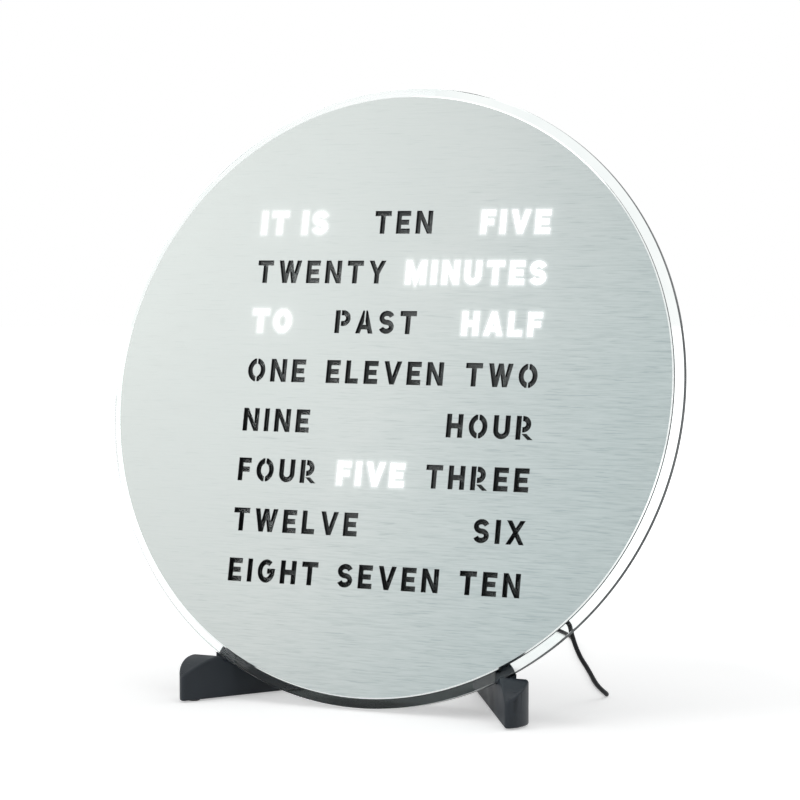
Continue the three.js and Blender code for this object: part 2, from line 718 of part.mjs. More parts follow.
// Angled power plug, turned down to the right, with its tapered boot
const plugGroup = new THREE.Group();
plugGroup.position.set(jackOut, 0, -jackDown);
plugGroup.rotation.y = plugTurn;
clock.add(plugGroup);
const plugOutline = [
  ...oval(0, 0, plugWidth / 2, plugWidth / 2, 90, 270), [plugAhead, -plugWidth / 2],
  [plugAhead, plugWidth / 2],
];
const plugBody = slab(outline(plugOutline), plugFront, plugFront + plugDepth);
const plugTip = rod(plugBarrelRadius, 0, 0, plugFront - plugBarrelLength, plugMiddle);
piece(plugGroup, 'power_plug', join(plugBody, plugTip), cordBlack());
const bootStart = plugAhead + seatGap;
const bootProfile = [[0, 0], [bootWideRadius, 0], [bootNarrowRadius, bootLength], [0, bootLength]];
const boot = turned(bootProfile, smallSides).rotateZ(-Math.PI / 2).translate(bootStart, plugMiddle, 0);
piece(plugGroup, 'plug_boot', boot, cordBlack());

// Feet, drawn for the right side in their own frame: X outwards, Y back along the foot
const prism = (points, low, high) =>
  new THREE.ExtrudeGeometry(outline(points), { depth: high - low, bevelEnabled: false }).translate(0, 0, low);
const besideProfile = (points) => {
  const reach = toeWidth * 3;
  const geometry = new THREE.ExtrudeGeometry(outline(points), { depth: reach * 2, bevelEnabled: false });
  return geometry.rotateX(Math.PI / 2).rotateZ(Math.PI / 2).translate(-reach, 0, 0);
};
const footFloor = padProud;

// The disc's slot in world places: where its middle plane crosses the foot's top
const slotDepth = (clearFront + clearBack) / 2;
const slotUp = toeTopHeight - centreHeight;
const slotMiddle = (slotDepth + slotUp * Math.sin(leanAngle)) / Math.cos(leanAngle);
const toeFront = toeReach - slotMiddle;
const toeBack = toeLength * Math.cos(footSplay) - toeFront;
const slotBehind = (slotMiddle - toeBack) / Math.cos(footSplay);
const barMeets = toeLength - barWidth * Math.tan(footSplay);
const splitInner = toeLength + slotBehind;
const splitOuter = barMeets + slotBehind;
const toeOut = clearRadius * Math.sin(slotPlace) + splitInner * Math.sin(footSplay);

// Toe: a rounded nose under a top that falls in an arc to the front, and a notch for the disc
const toeCorner = [toeWidth * Math.cos(footSplay), toeLength - toeWidth * Math.sin(footSplay)];
const nose = new THREE.CubicBezierCurve(
  new THREE.Vector2(0, 0),
  new THREE.Vector2(toeCorner[0] * noseOutShare, -toeLength * noseReachShare),
  new THREE.Vector2(toeCorner[0] * noseTurnShare, toeLength * noseBackShare),
  new THREE.Vector2(...toeCorner),
).getPoints(footSteps).map((p) => [p.x, p.y]);
const crownHeight = (y) => toeTopHeight - Math.sqrt(toeCrownRadius ** 2 - toeCrownLead ** 2)
  + Math.sqrt(toeCrownRadius ** 2 - (toeCrownLead + toeBack - y) ** 2);
const crownFront = -toeFront - overrun;
const crown = [];
for (let k = 0; k <= footSteps; k += 1) {
  const y = toeBack + ((crownFront - toeBack) * k) / footSteps;
  crown.push([y, crownHeight(y)]);
}
const toePlan = [...nose, [barWidth, barMeets], [barWidth, splitOuter + seatGap], [0, splitInner + seatGap]];
const toeProfile = [
  [crownFront, footFloor], [toeLength, footFloor], [toeLength, toeTopHeight], ...crown,
];
const notchPoints = [
  [toeBack, toeTopHeight], [toeBack + notchDrop, toeTopHeight - notchDrop],
  [slotMiddle + toeLength, toeTopHeight - notchDrop], [slotMiddle + toeLength, backrestHeight],
  [toeBack, backrestHeight],
];

// Backrest and bar behind the disc, falling in a long curve to the heel
const fall = new THREE.CubicBezierCurve(
  new THREE.Vector2(splitInner + backrestLength, backrestHeight),
  new THREE.Vector2(splitInner + backrestLength + barLength / 4, backrestHeight),
  new THREE.Vector2(barLength / 2, heelHeight + notchDrop),
  new THREE.Vector2(barLength, heelHeight),
).getPoints(footSteps).map((p) => [p.x, p.y]);
const barPlan = [
  [0, splitInner], [barWidth, splitOuter], [barWidth, barLength - heelRound],
  [barWidth - heelRound, barLength], [heelRound, barLength], [0, barLength - heelRound],
];
const barProfile = [
  [0, footFloor], [barLength + overrun, footFloor], [barLength + overrun, heelHeight], ...fall.reverse(),
  [0, backrestHeight],
];
const barSection = [
  [0, 0], [barWidth, 0],
  ...oval(barWidth - backrestRound, backrestHeight - backrestRound, backrestRound, backrestRound, 0, 90),
  [0, backrestHeight],
];

// The disc with its clearance, as a cutter in world places
function discCutter() {
  const cutter = turned([
    [0, clearFront - seatGap], [clearRadius + seatGap, clearFront - seatGap],
    [clearRadius + seatGap, clearBack + seatGap], [0, clearBack + seatGap],
  ], fineSides * 2);
  return cutter.rotateX(-leanAngle).translate(0, 0, centreHeight);
}
const padPlaces = [[frontPadOut, frontPadBack], [barWidth / 2, barLength - rearPadInset]];
const toPlace = (geometry) => geometry.rotateZ(footSplay).translate(toeOut, -toeFront, 0);
const padRod = (radius, [x, y], low, high) =>
  new THREE.CylinderGeometry(radius, radius, high - low, smallSides)
    .rotateX(Math.PI / 2).translate(x, y, (low + high) / 2);
const toeBlock = overlapOf(toPlace(prism(toePlan, 0, backrestHeight)),
  besideProfile(toeProfile).translate(toeOut, 0, 0));
const notch = besideProfile(notchPoints).translate(toeOut, 0, 0);
const barBlank = overlapOf(prism(barPlan, 0, backrestHeight + overrun), besideProfile(barProfile));
const barBlock = toPlace(overlapOf(barBlank, slab(outline(barSection), 0, barLength + overrun)));
const pockets = padPlaces.map((place) =>
  toPlace(padRod(padRadius + seatGap, place, 0, padThickness + seatGap)));
const rightFoot = cut(join(cut(toeBlock, notch), barBlock), discCutter(), ...pockets);

// Both feet with their pads: the left one is the mirror image
const mirrored = (geometry, side) => geometry.clone().scale(side, 1, 1);
[['left', -1], ['right', 1]].forEach(([name, side]) => {
  piece(object, `${name}_foot`, mirrored(rightFoot, side), footPlastic());
  ['front', 'rear'].forEach((end, k) => {
    const pad = toPlace(padRod(padRadius, padPlaces[k], 0, padThickness));
    piece(object, `${name}_${end}_pad`, mirrored(pad, side), rubber());
  });
});

// Tube of even thickness along points, with flat ends
function tube(points, radius, sides) {
  const corners = [];
  const faces = [];
  const ahead = (i) => points[Math.min(i + 1, points.length - 1)].clone()
    .sub(points[Math.max(i - 1, 0)]).normalize();
  const across = new THREE.Vector3(0, 0, 1);
  points.forEach((point, i) => {
    const along = ahead(i);
    across.sub(along.clone().multiplyScalar(across.dot(along))).normalize();
    const third = along.clone().cross(across);
    for (let k = 0; k < sides; k += 1) {
      const turn = (2 * Math.PI * (k + 0.5)) / sides;
      const corner = point.clone().addScaledVector(across, radius * Math.cos(turn))
        .addScaledVector(third, radius * Math.sin(turn));
      corners.push(corner.x, corner.y, corner.z);
    }
  });
  for (let i = 0; i < points.length - 1; i += 1) {
    for (let k = 0; k < sides; k += 1) {
      const [a, b] = [i * sides + k, i * sides + ((k + 1) % sides)];
      faces.push(a, b, b + sides, a, b + sides, a + sides);
    }
  }
  const last = (points.length - 1) * sides;
  for (let k = 1; k < sides - 1; k += 1) faces.push(0, k + 1, k, last, last + k, last + k + 1);
  const geometry = new THREE.BufferGeometry();
  geometry.setAttribute('position', new THREE.BufferAttribute(new Float32Array(corners), 3));
  geometry.setIndex(faces);
  return geometry;
}

// Cord from the boot down to the table, and back to the coil: points chosen by hand, from its start
const cordRadius = cordDiameter / 2;
object.updateMatrixWorld(true);
const bootEnd = new THREE.Vector3(bootStart + bootLength + seatGap, plugMiddle, 0);
const bootOn = bootEnd.clone().setX(bootEnd.x + cordDiameter * 2);
[bootEnd, bootOn].forEach((point) => plugGroup.localToWorld(point));
const airPoints = [
  [6.8, 3.5, 40.3], [7.1, 7.5, 34.1], [7.5, 11, 28.5], [8.5, 15, 22.6], [9.7, 19.5, 17.5],
  [10.3, 24, 13.2], [10.6, 28, 9.5], [11.2, 32, 6.2], [12.1, 36.5, 3.2],
];
const floorPoints = [
  [11.9, 41], [7, 49], [0.3, 60.2], [-7.7, 75.1], [-16.1, 92.6], [-26.6, 114], [-33.7, 127.9],
  [-40.9, 142.1], [-48.9, 159], [-57.6, 177.7],
  [-66, 196], [-75, 212], [-86, 226], [-95, 236.5],
];
const coilX = bootOn.x + coilAcross;
const coilY = bootOn.y + coilBehind;
const layerUp = (layer) => tieThickness + seatGap + cordRadius + layer * coilPitch;
const coilOutside = coilRadius + (coilTurns * coilPitch) / 2;
const coilInside = coilRadius - (coilTurns * coilPitch) / 2;

// Coil: turns that spiral in and out in layers, climbing where the spiral turns round
function coilPoint(turns) {
  const layer = Math.min(Math.floor(turns / coilTurns), coilLayers - 1);
  const inLayer = turns - layer * coilTurns;
  const outwards = layer % 2 === 1;
  const radius = outwards ? coilInside + inLayer * coilPitch : coilOutside - inLayer * coilPitch;
  const climbSpan = 0.25;
  let up = layer;
  if (layer < coilLayers - 1 && inLayer > coilTurns - climbSpan) {
    up += THREE.MathUtils.smoothstep((inLayer - coilTurns) / climbSpan, -1, 1);
  } else if (layer > 0 && inLayer < climbSpan) {
    up += THREE.MathUtils.smoothstep(inLayer / climbSpan, -1, 1) - 1;
  }
  const turn = coilStart + 2 * Math.PI * turns;
  return new THREE.Vector3(coilX + radius * Math.cos(turn), coilY + radius * Math.sin(turn), layerUp(up));
}
const stepsPerTurn = 24;
const allTurns = coilTurns * coilLayers;
const coilEndTurns = allTurns + (0.5 - coilStart / (2 * Math.PI));
const coilPoints = [];
for (let k = 0; k <= Math.round(coilEndTurns * stepsPerTurn); k += 1) {
  const turns = (k / Math.round(coilEndTurns * stepsPerTurn)) * coilEndTurns;
  coilPoints.push(coilPoint(turns));
}
const headOf = (a, b) => b.clone().sub(a).normalize().multiplyScalar(cordDiameter);
coilPoints.unshift(coilPoints[0].clone().sub(headOf(coilPoints[0], coilPoints[1])));
coilPoints.push(coilPoints.at(-1).clone().add(headOf(coilPoints.at(-2), coilPoints.at(-1)).setZ(0)));
const coilHeading = coilPoints[1].clone().sub(coilPoints[0]).normalize();
const cordEntry = coilPoints[0].clone().addScaledVector(coilHeading, -seatGap);
const coilExit = coilPoints.at(-1);

// Least gap of the coil to itself
let leastGap = Infinity;
coilPoints.forEach((point, i) => {
  for (let j = i + stepsPerTurn / 2; j < coilPoints.length; j += 1) {
    leastGap = Math.min(leastGap, point.distanceTo(coilPoints[j]) - cordDiameter);
  }
});
console.log('least gap of the coil to itself', leastGap.toFixed(2), 'mm');

// The three lengths of the cord
const cordSides = 8;
const coilSides = 6;
const cordLevel = cordRadius + seatGap / 6;
const freePath = new THREE.CatmullRomCurve3([
  bootEnd, bootOn,
  ...airPoints.map(([x, y, up]) => new THREE.Vector3(bootOn.x + x, bootOn.y + y, up)),
  ...floorPoints.map(([x, y]) => new THREE.Vector3(bootOn.x + x, bootOn.y + y, cordLevel)),
  cordEntry.clone().addScaledVector(coilHeading, -cordDiameter), cordEntry,
], false, 'centripetal');
const cordStep = cordDiameter * 2.4;
const freePoints = freePath.getSpacedPoints(Math.round(freePath.getLength() / cordStep));
freePoints.forEach((point) => point.setZ(Math.max(point.z, cordLevel)));
piece(object, 'cord', tube(freePoints, cordRadius, cordSides), cordBlack());
piece(object, 'cord_coil', tube(coilPoints, cordRadius, coilSides), cordBlack());
const usbFace = new THREE.Vector3(coilExit.x, coilExit.y - usbDistance, usbHeight / 2);
const tailStart = coilExit.clone().setY(coilExit.y - seatGap);
const tailPath = new THREE.CatmullRomCurve3([
  tailStart, tailStart.clone().setY(tailStart.y - cordDiameter),
  new THREE.Vector3(usbFace.x, (tailStart.y + usbFace.y) / 2, (tailStart.z + usbFace.z) / 2),
  usbFace.clone().setY(usbFace.y + cordDiameter), usbFace,
], false, 'centripetal');
piece(object, 'cord_tail', tube(tailPath.getSpacedPoints(footSteps), cordRadius, cordSides), cordBlack());

// Tie round the coil's turns
const bundleInside = coilInside - cordRadius - tieClearance;
const bundleOutside = coilOutside + cordRadius + tieClearance;
const bundleTop = layerUp(coilLayers - 1) + cordRadius + tieClearance;
const tieShape = holed(
  rectangle(bundleInside - tieThickness, 0, bundleOutside + tieThickness, bundleTop + tieThickness),
  [rectangle(bundleInside, tieThickness, bundleOutside, bundleTop)],
);
const tie = new THREE.ExtrudeGeometry(tieShape, { depth: tieWidth, bevelEnabled: false })
  .translate(0, 0, -tieWidth / 2).rotateX(Math.PI / 2).rotateZ(tiePlace).translate(coilX, coilY, 0);
piece(object, 'cord_tie', tie, rubber());

// Plug at the far end: a moulded grip with a tapered boot, and a metal shell
const usbBack = usbFace.y - seatGap;
const gripShape = outline(rectangle(-usbWidth / 2, 0, usbWidth / 2, usbHeight));
const grip = new THREE.ExtrudeGeometry(gripShape, { depth: usbLength, bevelEnabled: false })
  .rotateX(Math.PI / 2).translate(usbFace.x, usbBack - usbBootLength, 0);
const usbBoot = turned([
  [0, 0], [bootNarrowRadius, 0], [usbBootRadius, usbBootLength], [usbBootRadius, usbBootLength + overrun],
  [0, usbBootLength + overrun],
], smallSides).rotateZ(Math.PI).translate(usbFace.x, usbBack, usbHeight / 2);
piece(object, 'usb_grip', join(grip, usbBoot), cordBlack());
const shellShape = holed(
  rectangle(-usbShellWidth / 2, -usbShellHeight / 2, usbShellWidth / 2, usbShellHeight / 2),
  [rectangle(-usbShellWidth / 2 + usbShellWall, -usbShellHeight / 2 + usbShellWall,
    usbShellWidth / 2 - usbShellWall, usbShellHeight / 2 - usbShellWall)],
);
const shell = new THREE.ExtrudeGeometry(shellShape, { depth: usbShellLength, bevelEnabled: false })
  .rotateX(Math.PI / 2)
  .translate(usbFace.x, usbBack - usbBootLength - usbLength - seatGap, usbHeight / 2);
piece(object, 'usb_shell', shell, steel());

// Stand the object centred over its origin, the cord apart
const cordNames = ['cord', 'cord_coil', 'cord_tail', 'cord_tie', 'usb_grip', 'usb_shell', 'power_plug', 'plug_boot'];
object.updateMatrixWorld(true);
const bounds = new THREE.Box3();
object.traverse((mesh) => {
  if (mesh.isMesh && !cordNames.includes(mesh.name)) bounds.expandByObject(mesh, true);
});
object.position.y = -(bounds.min.y + bounds.max.y) / 2;
console.log('moved along Y by', object.position.y.toFixed(3), 'mm');
const cordLength = freePath.getLength() + tailPath.getLength()
  + coilPoints.slice(1).reduce((sum, point, i) => sum + point.distanceTo(coilPoints[i]), 0);
console.log('cord length', cordLength.toFixed(0), 'mm');

export default object;
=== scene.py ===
from math import ceil, cos, dist, pi, radians, sin, sqrt, tan

import bmesh
import bpy
import numpy as np
from mathutils import Matrix, Vector
from mathutils.geometry import delaunay_2d_cdt


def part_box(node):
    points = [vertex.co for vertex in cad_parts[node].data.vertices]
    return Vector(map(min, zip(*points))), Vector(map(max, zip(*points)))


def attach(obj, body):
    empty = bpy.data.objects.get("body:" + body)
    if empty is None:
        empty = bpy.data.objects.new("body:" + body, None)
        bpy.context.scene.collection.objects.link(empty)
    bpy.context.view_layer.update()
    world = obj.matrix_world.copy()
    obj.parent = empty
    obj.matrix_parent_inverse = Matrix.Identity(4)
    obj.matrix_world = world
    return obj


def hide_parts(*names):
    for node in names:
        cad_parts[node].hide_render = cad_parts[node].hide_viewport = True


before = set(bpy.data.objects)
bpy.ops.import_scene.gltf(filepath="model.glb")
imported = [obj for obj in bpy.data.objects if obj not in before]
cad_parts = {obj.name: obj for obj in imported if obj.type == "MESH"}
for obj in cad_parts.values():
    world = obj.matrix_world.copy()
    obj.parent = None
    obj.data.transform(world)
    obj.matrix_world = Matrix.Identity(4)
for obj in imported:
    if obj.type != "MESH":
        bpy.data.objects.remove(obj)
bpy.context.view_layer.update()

MM = 0.001

# Sizes of the part, in millimetres, as its source gives them
LEAN = radians(12)
SHIFT = -6.367
PLATE_RADIUS, PLATE_BACK = 144.5, 2.0
DISC_FLOOR_GAP = 0.4
DISC_RADIUS, DISC_FRONT, DISC_BACK = 149.0, 2.3, 5.3
CENTRE = DISC_FLOOR_GAP + DISC_RADIUS * cos(LEAN) + DISC_BACK * sin(LEAN)
SEAT_GAP = 0.3
FLOOR_GAP = 0.8
HOUSING_RADIUS, HOUSING_FRONT, WALL = 128.5, 6.7, 2.5
FLANGE_RADIUS, FLANGE_MIDDLE, FLANGE_BACK = 123.7, 7.7, 8.7
COVER_RADIUS, COVER_FRONT, COVER_BACK = 125.7, 29.3, 31.7
HOLE_RADIUS = 1.55
BOSS_RING, BOSS_RADIUS = 122.3, 4
BOSS_FRONT, BOSS_FLOOR, BOSS_BACK = 20.2, 24.7, 29.0
SCREW_COUNT = 6
HEAD_RADIUS, HEAD_RISE, DOME_RISE = 2.75, 1.8, 1.1
SHANK_RADIUS, SHANK_LENGTH, SHANK_POINT = 1.25, 6.7, 0.5
DRIVE_LENGTH, DRIVE_DEPTH, DRIVE_WIDTH = 7, 2.0, 1.0
VENT_COUNT, VENT_PITCH, VENT_LENGTH, VENT_WIDTH = 5, 6, 22, 2
VENT_OUT, VENT_UP = 52, 58
POST_X, POST_RISE, POST_RADIUS, POST_FRONT = (-20, 68), 11, 2.8, 25.0
BOARD_DOWN = 72.0
BUTTON_X, BUTTON_HOLE = (-10.0, 7.5, 25.0), 3.3
JACK, JACK_HOLE = (60.0, -78.0), 4.3
PLUG_MIDDLE = 36.3
PLUG_TURN = radians(45)
CORD_DIAMETER = 2.2


def at(x, back, up):
    """A place in the leaning clock's own frame, in metres of the row frame."""
    return Vector((
        x,
        SHIFT + back * cos(LEAN) + up * sin(LEAN),
        CENTRE - back * sin(LEAN) + up * cos(LEAN),
    )) * MM


RIGHT = Vector((1, 0, 0))
BACK = Vector((0, cos(LEAN), -sin(LEAN)))


def link(name, data):
    thing = bpy.data.objects.new(name, data)
    bpy.context.scene.collection.objects.link(thing)
    return thing


def mesh_of(bm, name):
    mesh = bpy.data.meshes.new(name)
    bm.to_mesh(mesh)
    bm.free()
    return mesh


# Camera, placed by the outlines in the photograph
turn, rise, distance, aside, above = radians(25.252), radians(3.317), 1231.43, 8.032, -3.596
away = Vector((sin(turn) * cos(rise), -cos(turn) * cos(rise), sin(rise)))
right = Vector((cos(turn), sin(turn), 0))
up = away.cross(right)
data = bpy.data.cameras.new("camera")
data.lens, data.sensor_width, data.sensor_fit = 117, 36, "HORIZONTAL"
data.clip_start, data.clip_end = 0.05, 50
camera = link("camera", data)
place = at(0, 0, 0) + (away * distance + right * aside + up * above) * MM
turned = Matrix((right, up, away)).transposed().to_4x4()
camera.matrix_world = Matrix.Translation(place) @ turned
bpy.context.scene.camera = camera


# Cord: its route, repeated from the part's source
def smooth_path(points, step):
    """Points a step apart along a centripetal spline through the given points."""
    pts = [np.array(p, float) for p in points]
    pts = [2 * pts[0] - pts[1]] + pts + [2 * pts[-1] - pts[-2]]
    out = []
    for i in range(1, len(pts) - 2):
        p0, p1, p2, p3 = pts[i - 1:i + 3]
        d0, d1, d2 = (
            max(np.linalg.norm(b - a), 1e-8) ** 0.5 for a, b in ((p0, p1), (p1, p2), (p2, p3)))
        t1 = ((p1 - p0) / d0 - (p2 - p0) / (d0 + d1) + (p2 - p1) / d1) * d1
        t2 = ((p2 - p1) / d1 - (p3 - p1) / (d1 + d2) + (p3 - p2) / d2) * d1
        count = max(2, int(ceil(np.linalg.norm(p2 - p1) / step)))
        for k in range(count):
            t = k / count
            a, b = 2 * t**3 - 3 * t**2 + 1, t**3 - 2 * t**2 + t
            c, d = 3 * t**2 - 2 * t**3, t**3 - t**2
            out.append(a * p1 + b * t1 + c * p2 + d * t2)
    out.append(pts[-2])
    return out


def plug_place(along, aside, back):
    """A place in the turned plug's frame: along its cord's way out, in row millimetres."""
    x = JACK[0] + along * cos(PLUG_TURN) + aside * sin(PLUG_TURN)
    up = JACK[1] - along * sin(PLUG_TURN) + aside * cos(PLUG_TURN)
    return np.array(at(x, back, up)) / MM


BOOT_START, BOOT_LENGTH = 10.3, 14.0
CORD_START = BOOT_START + BOOT_LENGTH + SEAT_GAP
boot_end = plug_place(CORD_START, 0, PLUG_MIDDLE)
boot_on = plug_place(CORD_START + 2 * CORD_DIAMETER, 0, PLUG_MIDDLE)
AIR = [
    (6.8, 3.5, 40.3), (7.1, 7.5, 34.1), (7.5, 11, 28.5), (8.5, 15, 22.6), (9.7, 19.5, 17.5),
    (10.3, 24, 13.2), (10.6, 28, 9.5), (11.2, 32, 6.2), (12.1, 36.5, 3.2),
]
FLOOR = [
    (11.9, 41), (7, 49), (0.3, 60.2), (-7.7, 75.1), (-16.1, 92.6), (-26.6, 114), (-33.7, 127.9),
    (-40.9, 142.1), (-48.9, 159), (-57.6, 177.7), (-66, 196), (-75, 212), (-86, 226), (-95, 236.5),
]
COIL_PITCH, COIL_RADIUS, TURNS, LAYERS = 2.8, 12.0, 3, 4
COIL_START, COIL_ACROSS, COIL_BEHIND = radians(24), -115, 240
COIL_CLIMB, COIL_STEPS = 0.25, 48
USB_FACE_AHEAD, USB_LEVEL = 22, 4.0
CORD_LIFT, ROUTE_STEP, TAIL_STEP = 0.05, 2.0, 1.2
coil_x, coil_y = boot_on[0] + COIL_ACROSS, boot_on[1] + COIL_BEHIND


def coil_point(turns):
    """A place on the coil: layers that spiral in and out, climbing where the spiral turns round."""
    layer = min(int(turns // TURNS), LAYERS - 1)
    in_layer = turns - layer * TURNS
    outside = COIL_RADIUS + TURNS * COIL_PITCH / 2
    inside = COIL_RADIUS - TURNS * COIL_PITCH / 2
    radius = inside + in_layer * COIL_PITCH if layer % 2 else outside - in_layer * COIL_PITCH

    def smoothstep(value):
        t = min(max((value + 1) / 2, 0), 1)
        return t * t * (3 - 2 * t)

    up = float(layer)
    if layer < LAYERS - 1 and in_layer > TURNS - COIL_CLIMB:
        up += smoothstep((in_layer - TURNS) / COIL_CLIMB)
    elif layer > 0 and in_layer < COIL_CLIMB:
        up += smoothstep(in_layer / COIL_CLIMB) - 1
    turn = COIL_START + 2 * pi * turns
    level = FLOOR_GAP + SEAT_GAP + CORD_DIAMETER / 2 + up * COIL_PITCH
    return np.array((coil_x + radius * cos(turn), coil_y + radius * sin(turn), level))


def unit(vector):
    return vector / np.linalg.norm(vector)


coil_turns = TURNS * LAYERS + 0.5 - COIL_START / (2 * pi)
coil_steps = round(coil_turns * COIL_STEPS)
coil = [coil_point(coil_turns * k / coil_steps) for k in range(coil_steps + 1)]
start_way = unit(coil[1] - coil[0])
coil.insert(0, coil[0] - start_way * CORD_DIAMETER)
end_way = unit((coil[-1] - coil[-2]) * np.array((1, 1, 0)))
coil.append(coil[-1] + end_way * CORD_DIAMETER)
cord_level = CORD_DIAMETER / 2 + CORD_LIFT
entry = coil[0] - start_way * SEAT_GAP
free = smooth_path(
    [boot_end, boot_on]
    + [(boot_on[0] + x, boot_on[1] + y, z) for x, y, z in AIR]
    + [(boot_on[0] + x, boot_on[1] + y, cord_level) for x, y in FLOOR]
    + [entry - start_way * CORD_DIAMETER, entry], ROUTE_STEP)
for point in free:
    point[2] = max(point[2], cord_level)
usb_face = np.array((coil[-1][0], coil[-1][1] - USB_FACE_AHEAD, USB_LEVEL))
tail_start = coil[-1] + np.array((0, -SEAT_GAP, 0))
tail = smooth_path([
    tail_start, tail_start + np.array((0, -CORD_DIAMETER, 0)),
    (tail_start + usb_face) / 2, usb_face + np.array((0, CORD_DIAMETER, 0)), usb_face,
], TAIL_STEP)
route = [Vector(p) * MM for p in free + coil[1:-1] + tail]


# Node materials
def linear(colour):
    """A colour written in 0 to 255 as the shaders take it."""
    shares = [value / 255 for value in colour]
    return (*(v / 12.92 if v <= 0.04045 else ((v + 0.055) / 1.055) ** 2.4 for v in shares), 1.0)


WHITE = (1, 1, 1, 1)


class Nodes:
    """A node tree that is written out step by step."""

    def __init__(self, tree):
        self.tree = tree

    def put(self, socket, value):
        if hasattr(value, "is_linked"):
            self.tree.links.new(value, socket)
        else:
            socket.default_value = value

    def add(self, kind, inputs=None, **settings):
        node = self.tree.nodes.new(kind)
        for key, value in settings.items():
            setattr(node, key, value)
        for key, value in (inputs or {}).items():
            self.put(node.inputs[key], value)
        return node

    def math(self, operation, *values, clamp=False):
        inputs = dict(enumerate(values))
        node = self.add("ShaderNodeMath", inputs, operation=operation, use_clamp=clamp)
        return node.outputs[0]

    def blend(self, a, part_a, b, part_b):
        return self.math("ADD", self.math("MULTIPLY", a, part_a), self.math("MULTIPLY", b, part_b))

    def length(self, a, b):
        return self.math("SQRT", self.math("MULTIPLY_ADD", a, a, self.math("MULTIPLY", b, b)))

    def parts(self, vector):
        """The outputs X, Y and Z of a vector."""
        return self.add("ShaderNodeSeparateXYZ", {0: vector}).outputs


class Shader(Nodes):
    """The nodes of a material."""

    def __init__(self, name):
        self.material = bpy.data.materials.new(name)
        self.material.use_nodes = True
        super().__init__(self.material.node_tree)
        self.main = self.tree.nodes["Principled BSDF"]
        self.out = self.tree.nodes["Material Output"]
        self.place = self.add("ShaderNodeTexCoord").outputs["Object"]

    def noise(self, scale, detail, rough, stretch=None):
        place = self.place
        if stretch:
            place = self.add("ShaderNodeMapping", {"Vector": place, "Scale": stretch}).outputs[0]
        return self.add("ShaderNodeTexNoise", {
            "Vector": place, "Scale": scale, "Detail": detail, "Roughness": rough,
        }).outputs["Fac"]

    def between(self, value, low, high, from_low=0.3, from_high=0.7):
        return self.add("ShaderNodeMapRange", {
            "Value": value, "From Min": from_low, "From Max": from_high,
            "To Min": low, "To Max": high}).outputs[0]

    def ramp(self, value, colours, places=None):
        node = self.add("ShaderNodeValToRGB", {"Fac": value})
        places = places or [k / (len(colours) - 1) for k in range(len(colours))]
        elements = node.color_ramp.elements
        while len(elements) < len(colours):
            elements.new(0.5)
        for element, place, colour in zip(elements, places, colours):
            element.position, element.color = place, linear(colour)
        return node.outputs["Color"]

    def tone(self, value, dark, light):
        return self.ramp(value, (dark, light), (0.35, 0.65))

    def mixed(self, factor, a, b, kind="MIX"):
        inputs = {"Factor": factor, 6: a, 7: b}
        return self.add("ShaderNodeMix", inputs, data_type="RGBA", blend_type=kind).outputs[2]

    def bump(self, height, depth, strength):
        node = self.add("ShaderNodeBump", {
            "Strength": strength, "Distance": depth * MM, "Height": height})
        self.put(self.main.inputs["Normal"], node.outputs["Normal"])

    def glow(self, strength):
        self.main.inputs["Emission Color"].default_value = WHITE
        self.put(self.main.inputs["Emission Strength"], strength)

    def set(self, **values):
        for key, value in values.items():
            self.put(self.main.inputs[key.replace("_", " ")], value)
        return self.material


def moulded(
        name, dark, light, roughness, grain=2600, depth=0.02, specular=0.5, painted_shade_left=False):
    """Moulded plastic: a slow drift of tone, a fine grain and rubbed places; on request, painted
    shade where it faces left, where its shine is taken away."""
    s = Shader(name)
    if painted_shade_left:
        # Painted shade: the shine fades out on faces that turn to the left.
        turned = s.parts(s.add("ShaderNodeNewGeometry").outputs["Normal"])
        specular = s.between(turned["X"], 0.02, specular, -0.8, -0.4)
    drift = s.noise(26, 3, 0.55)
    fine = s.noise(grain, 2, 0.6)
    tone = s.blend(drift, 0.75, fine, 0.25)
    rubbed = s.noise(60, 4, 0.6)
    s.bump(fine, depth, 0.5)
    return s.set(
        Base_Color=s.tone(tone, dark, light),
        Roughness=s.between(rubbed, roughness + 0.05, roughness - 0.05),
        Specular_IOR_Level=specular)


def plane_places(s):
    """Across and up on the leaning face, in millimetres."""
    parts = s.parts(s.place)
    across = s.math("MULTIPLY", parts["X"], 1 / MM)
    y = s.math("MULTIPLY_ADD", parts["Y"], 1 / MM, -SHIFT)
    z = s.math("MULTIPLY_ADD", parts["Z"], 1 / MM, -CENTRE)
    up = s.math("MULTIPLY_ADD", y, sin(LEAN), s.math("MULTIPLY", z, cos(LEAN)))
    return across, up


# Letters: the outlines of their openings, as in the part's source with finer curves
ROWS = [
    ["IT IS", "TEN", "FIVE"], ["TWENTY", "MINUTES"], ["TO", "PAST", "HALF"],
    ["ONE", "ELEVEN", "TWO"], ["NINE", "HOUR"], ["FOUR", "FIVE", "THREE"],
    ["TWELVE", "SIX"], ["EIGHT", "SEVEN", "TEN"],
]
LIT = {(0, 0), (0, 2), (1, 1), (2, 0), (2, 2), (5, 1)}
CORNER, CORNER_TURN = 123.4 - 8.9, radians(50.07)
CAP_SHARE, RIGHT_SHARE, LAST_ROW_SHARE = 0.4486, 1.061, 1.0615
FIRST_TOP = CORNER * sin(CORNER_TURN)
LEFT = CORNER * cos(CORNER_TURN)
RIGHT_EDGE = LEFT * RIGHT_SHARE
PITCH = FIRST_TOP * (1 + LAST_ROW_SHARE) / (len(ROWS) - 1 + CAP_SHARE)
CAP = PITCH * CAP_SHARE
STROKE = CAP * 0.2064
GAP = CAP * 0.303
SPACE = CAP * 0.78
BRIDGE = 0.9
HALF = STROKE / 2
SHARES = dict(
    A=0.82, E=0.64, F=0.6, G=0.82, H=0.74, I=0, L=0.6, M=0.92, N=0.76, O=0.84, P=0.72,
    R=0.76, S=0.7, T=0.76, U=0.74, V=0.82, W=1.1, X=0.8, Y=0.78)


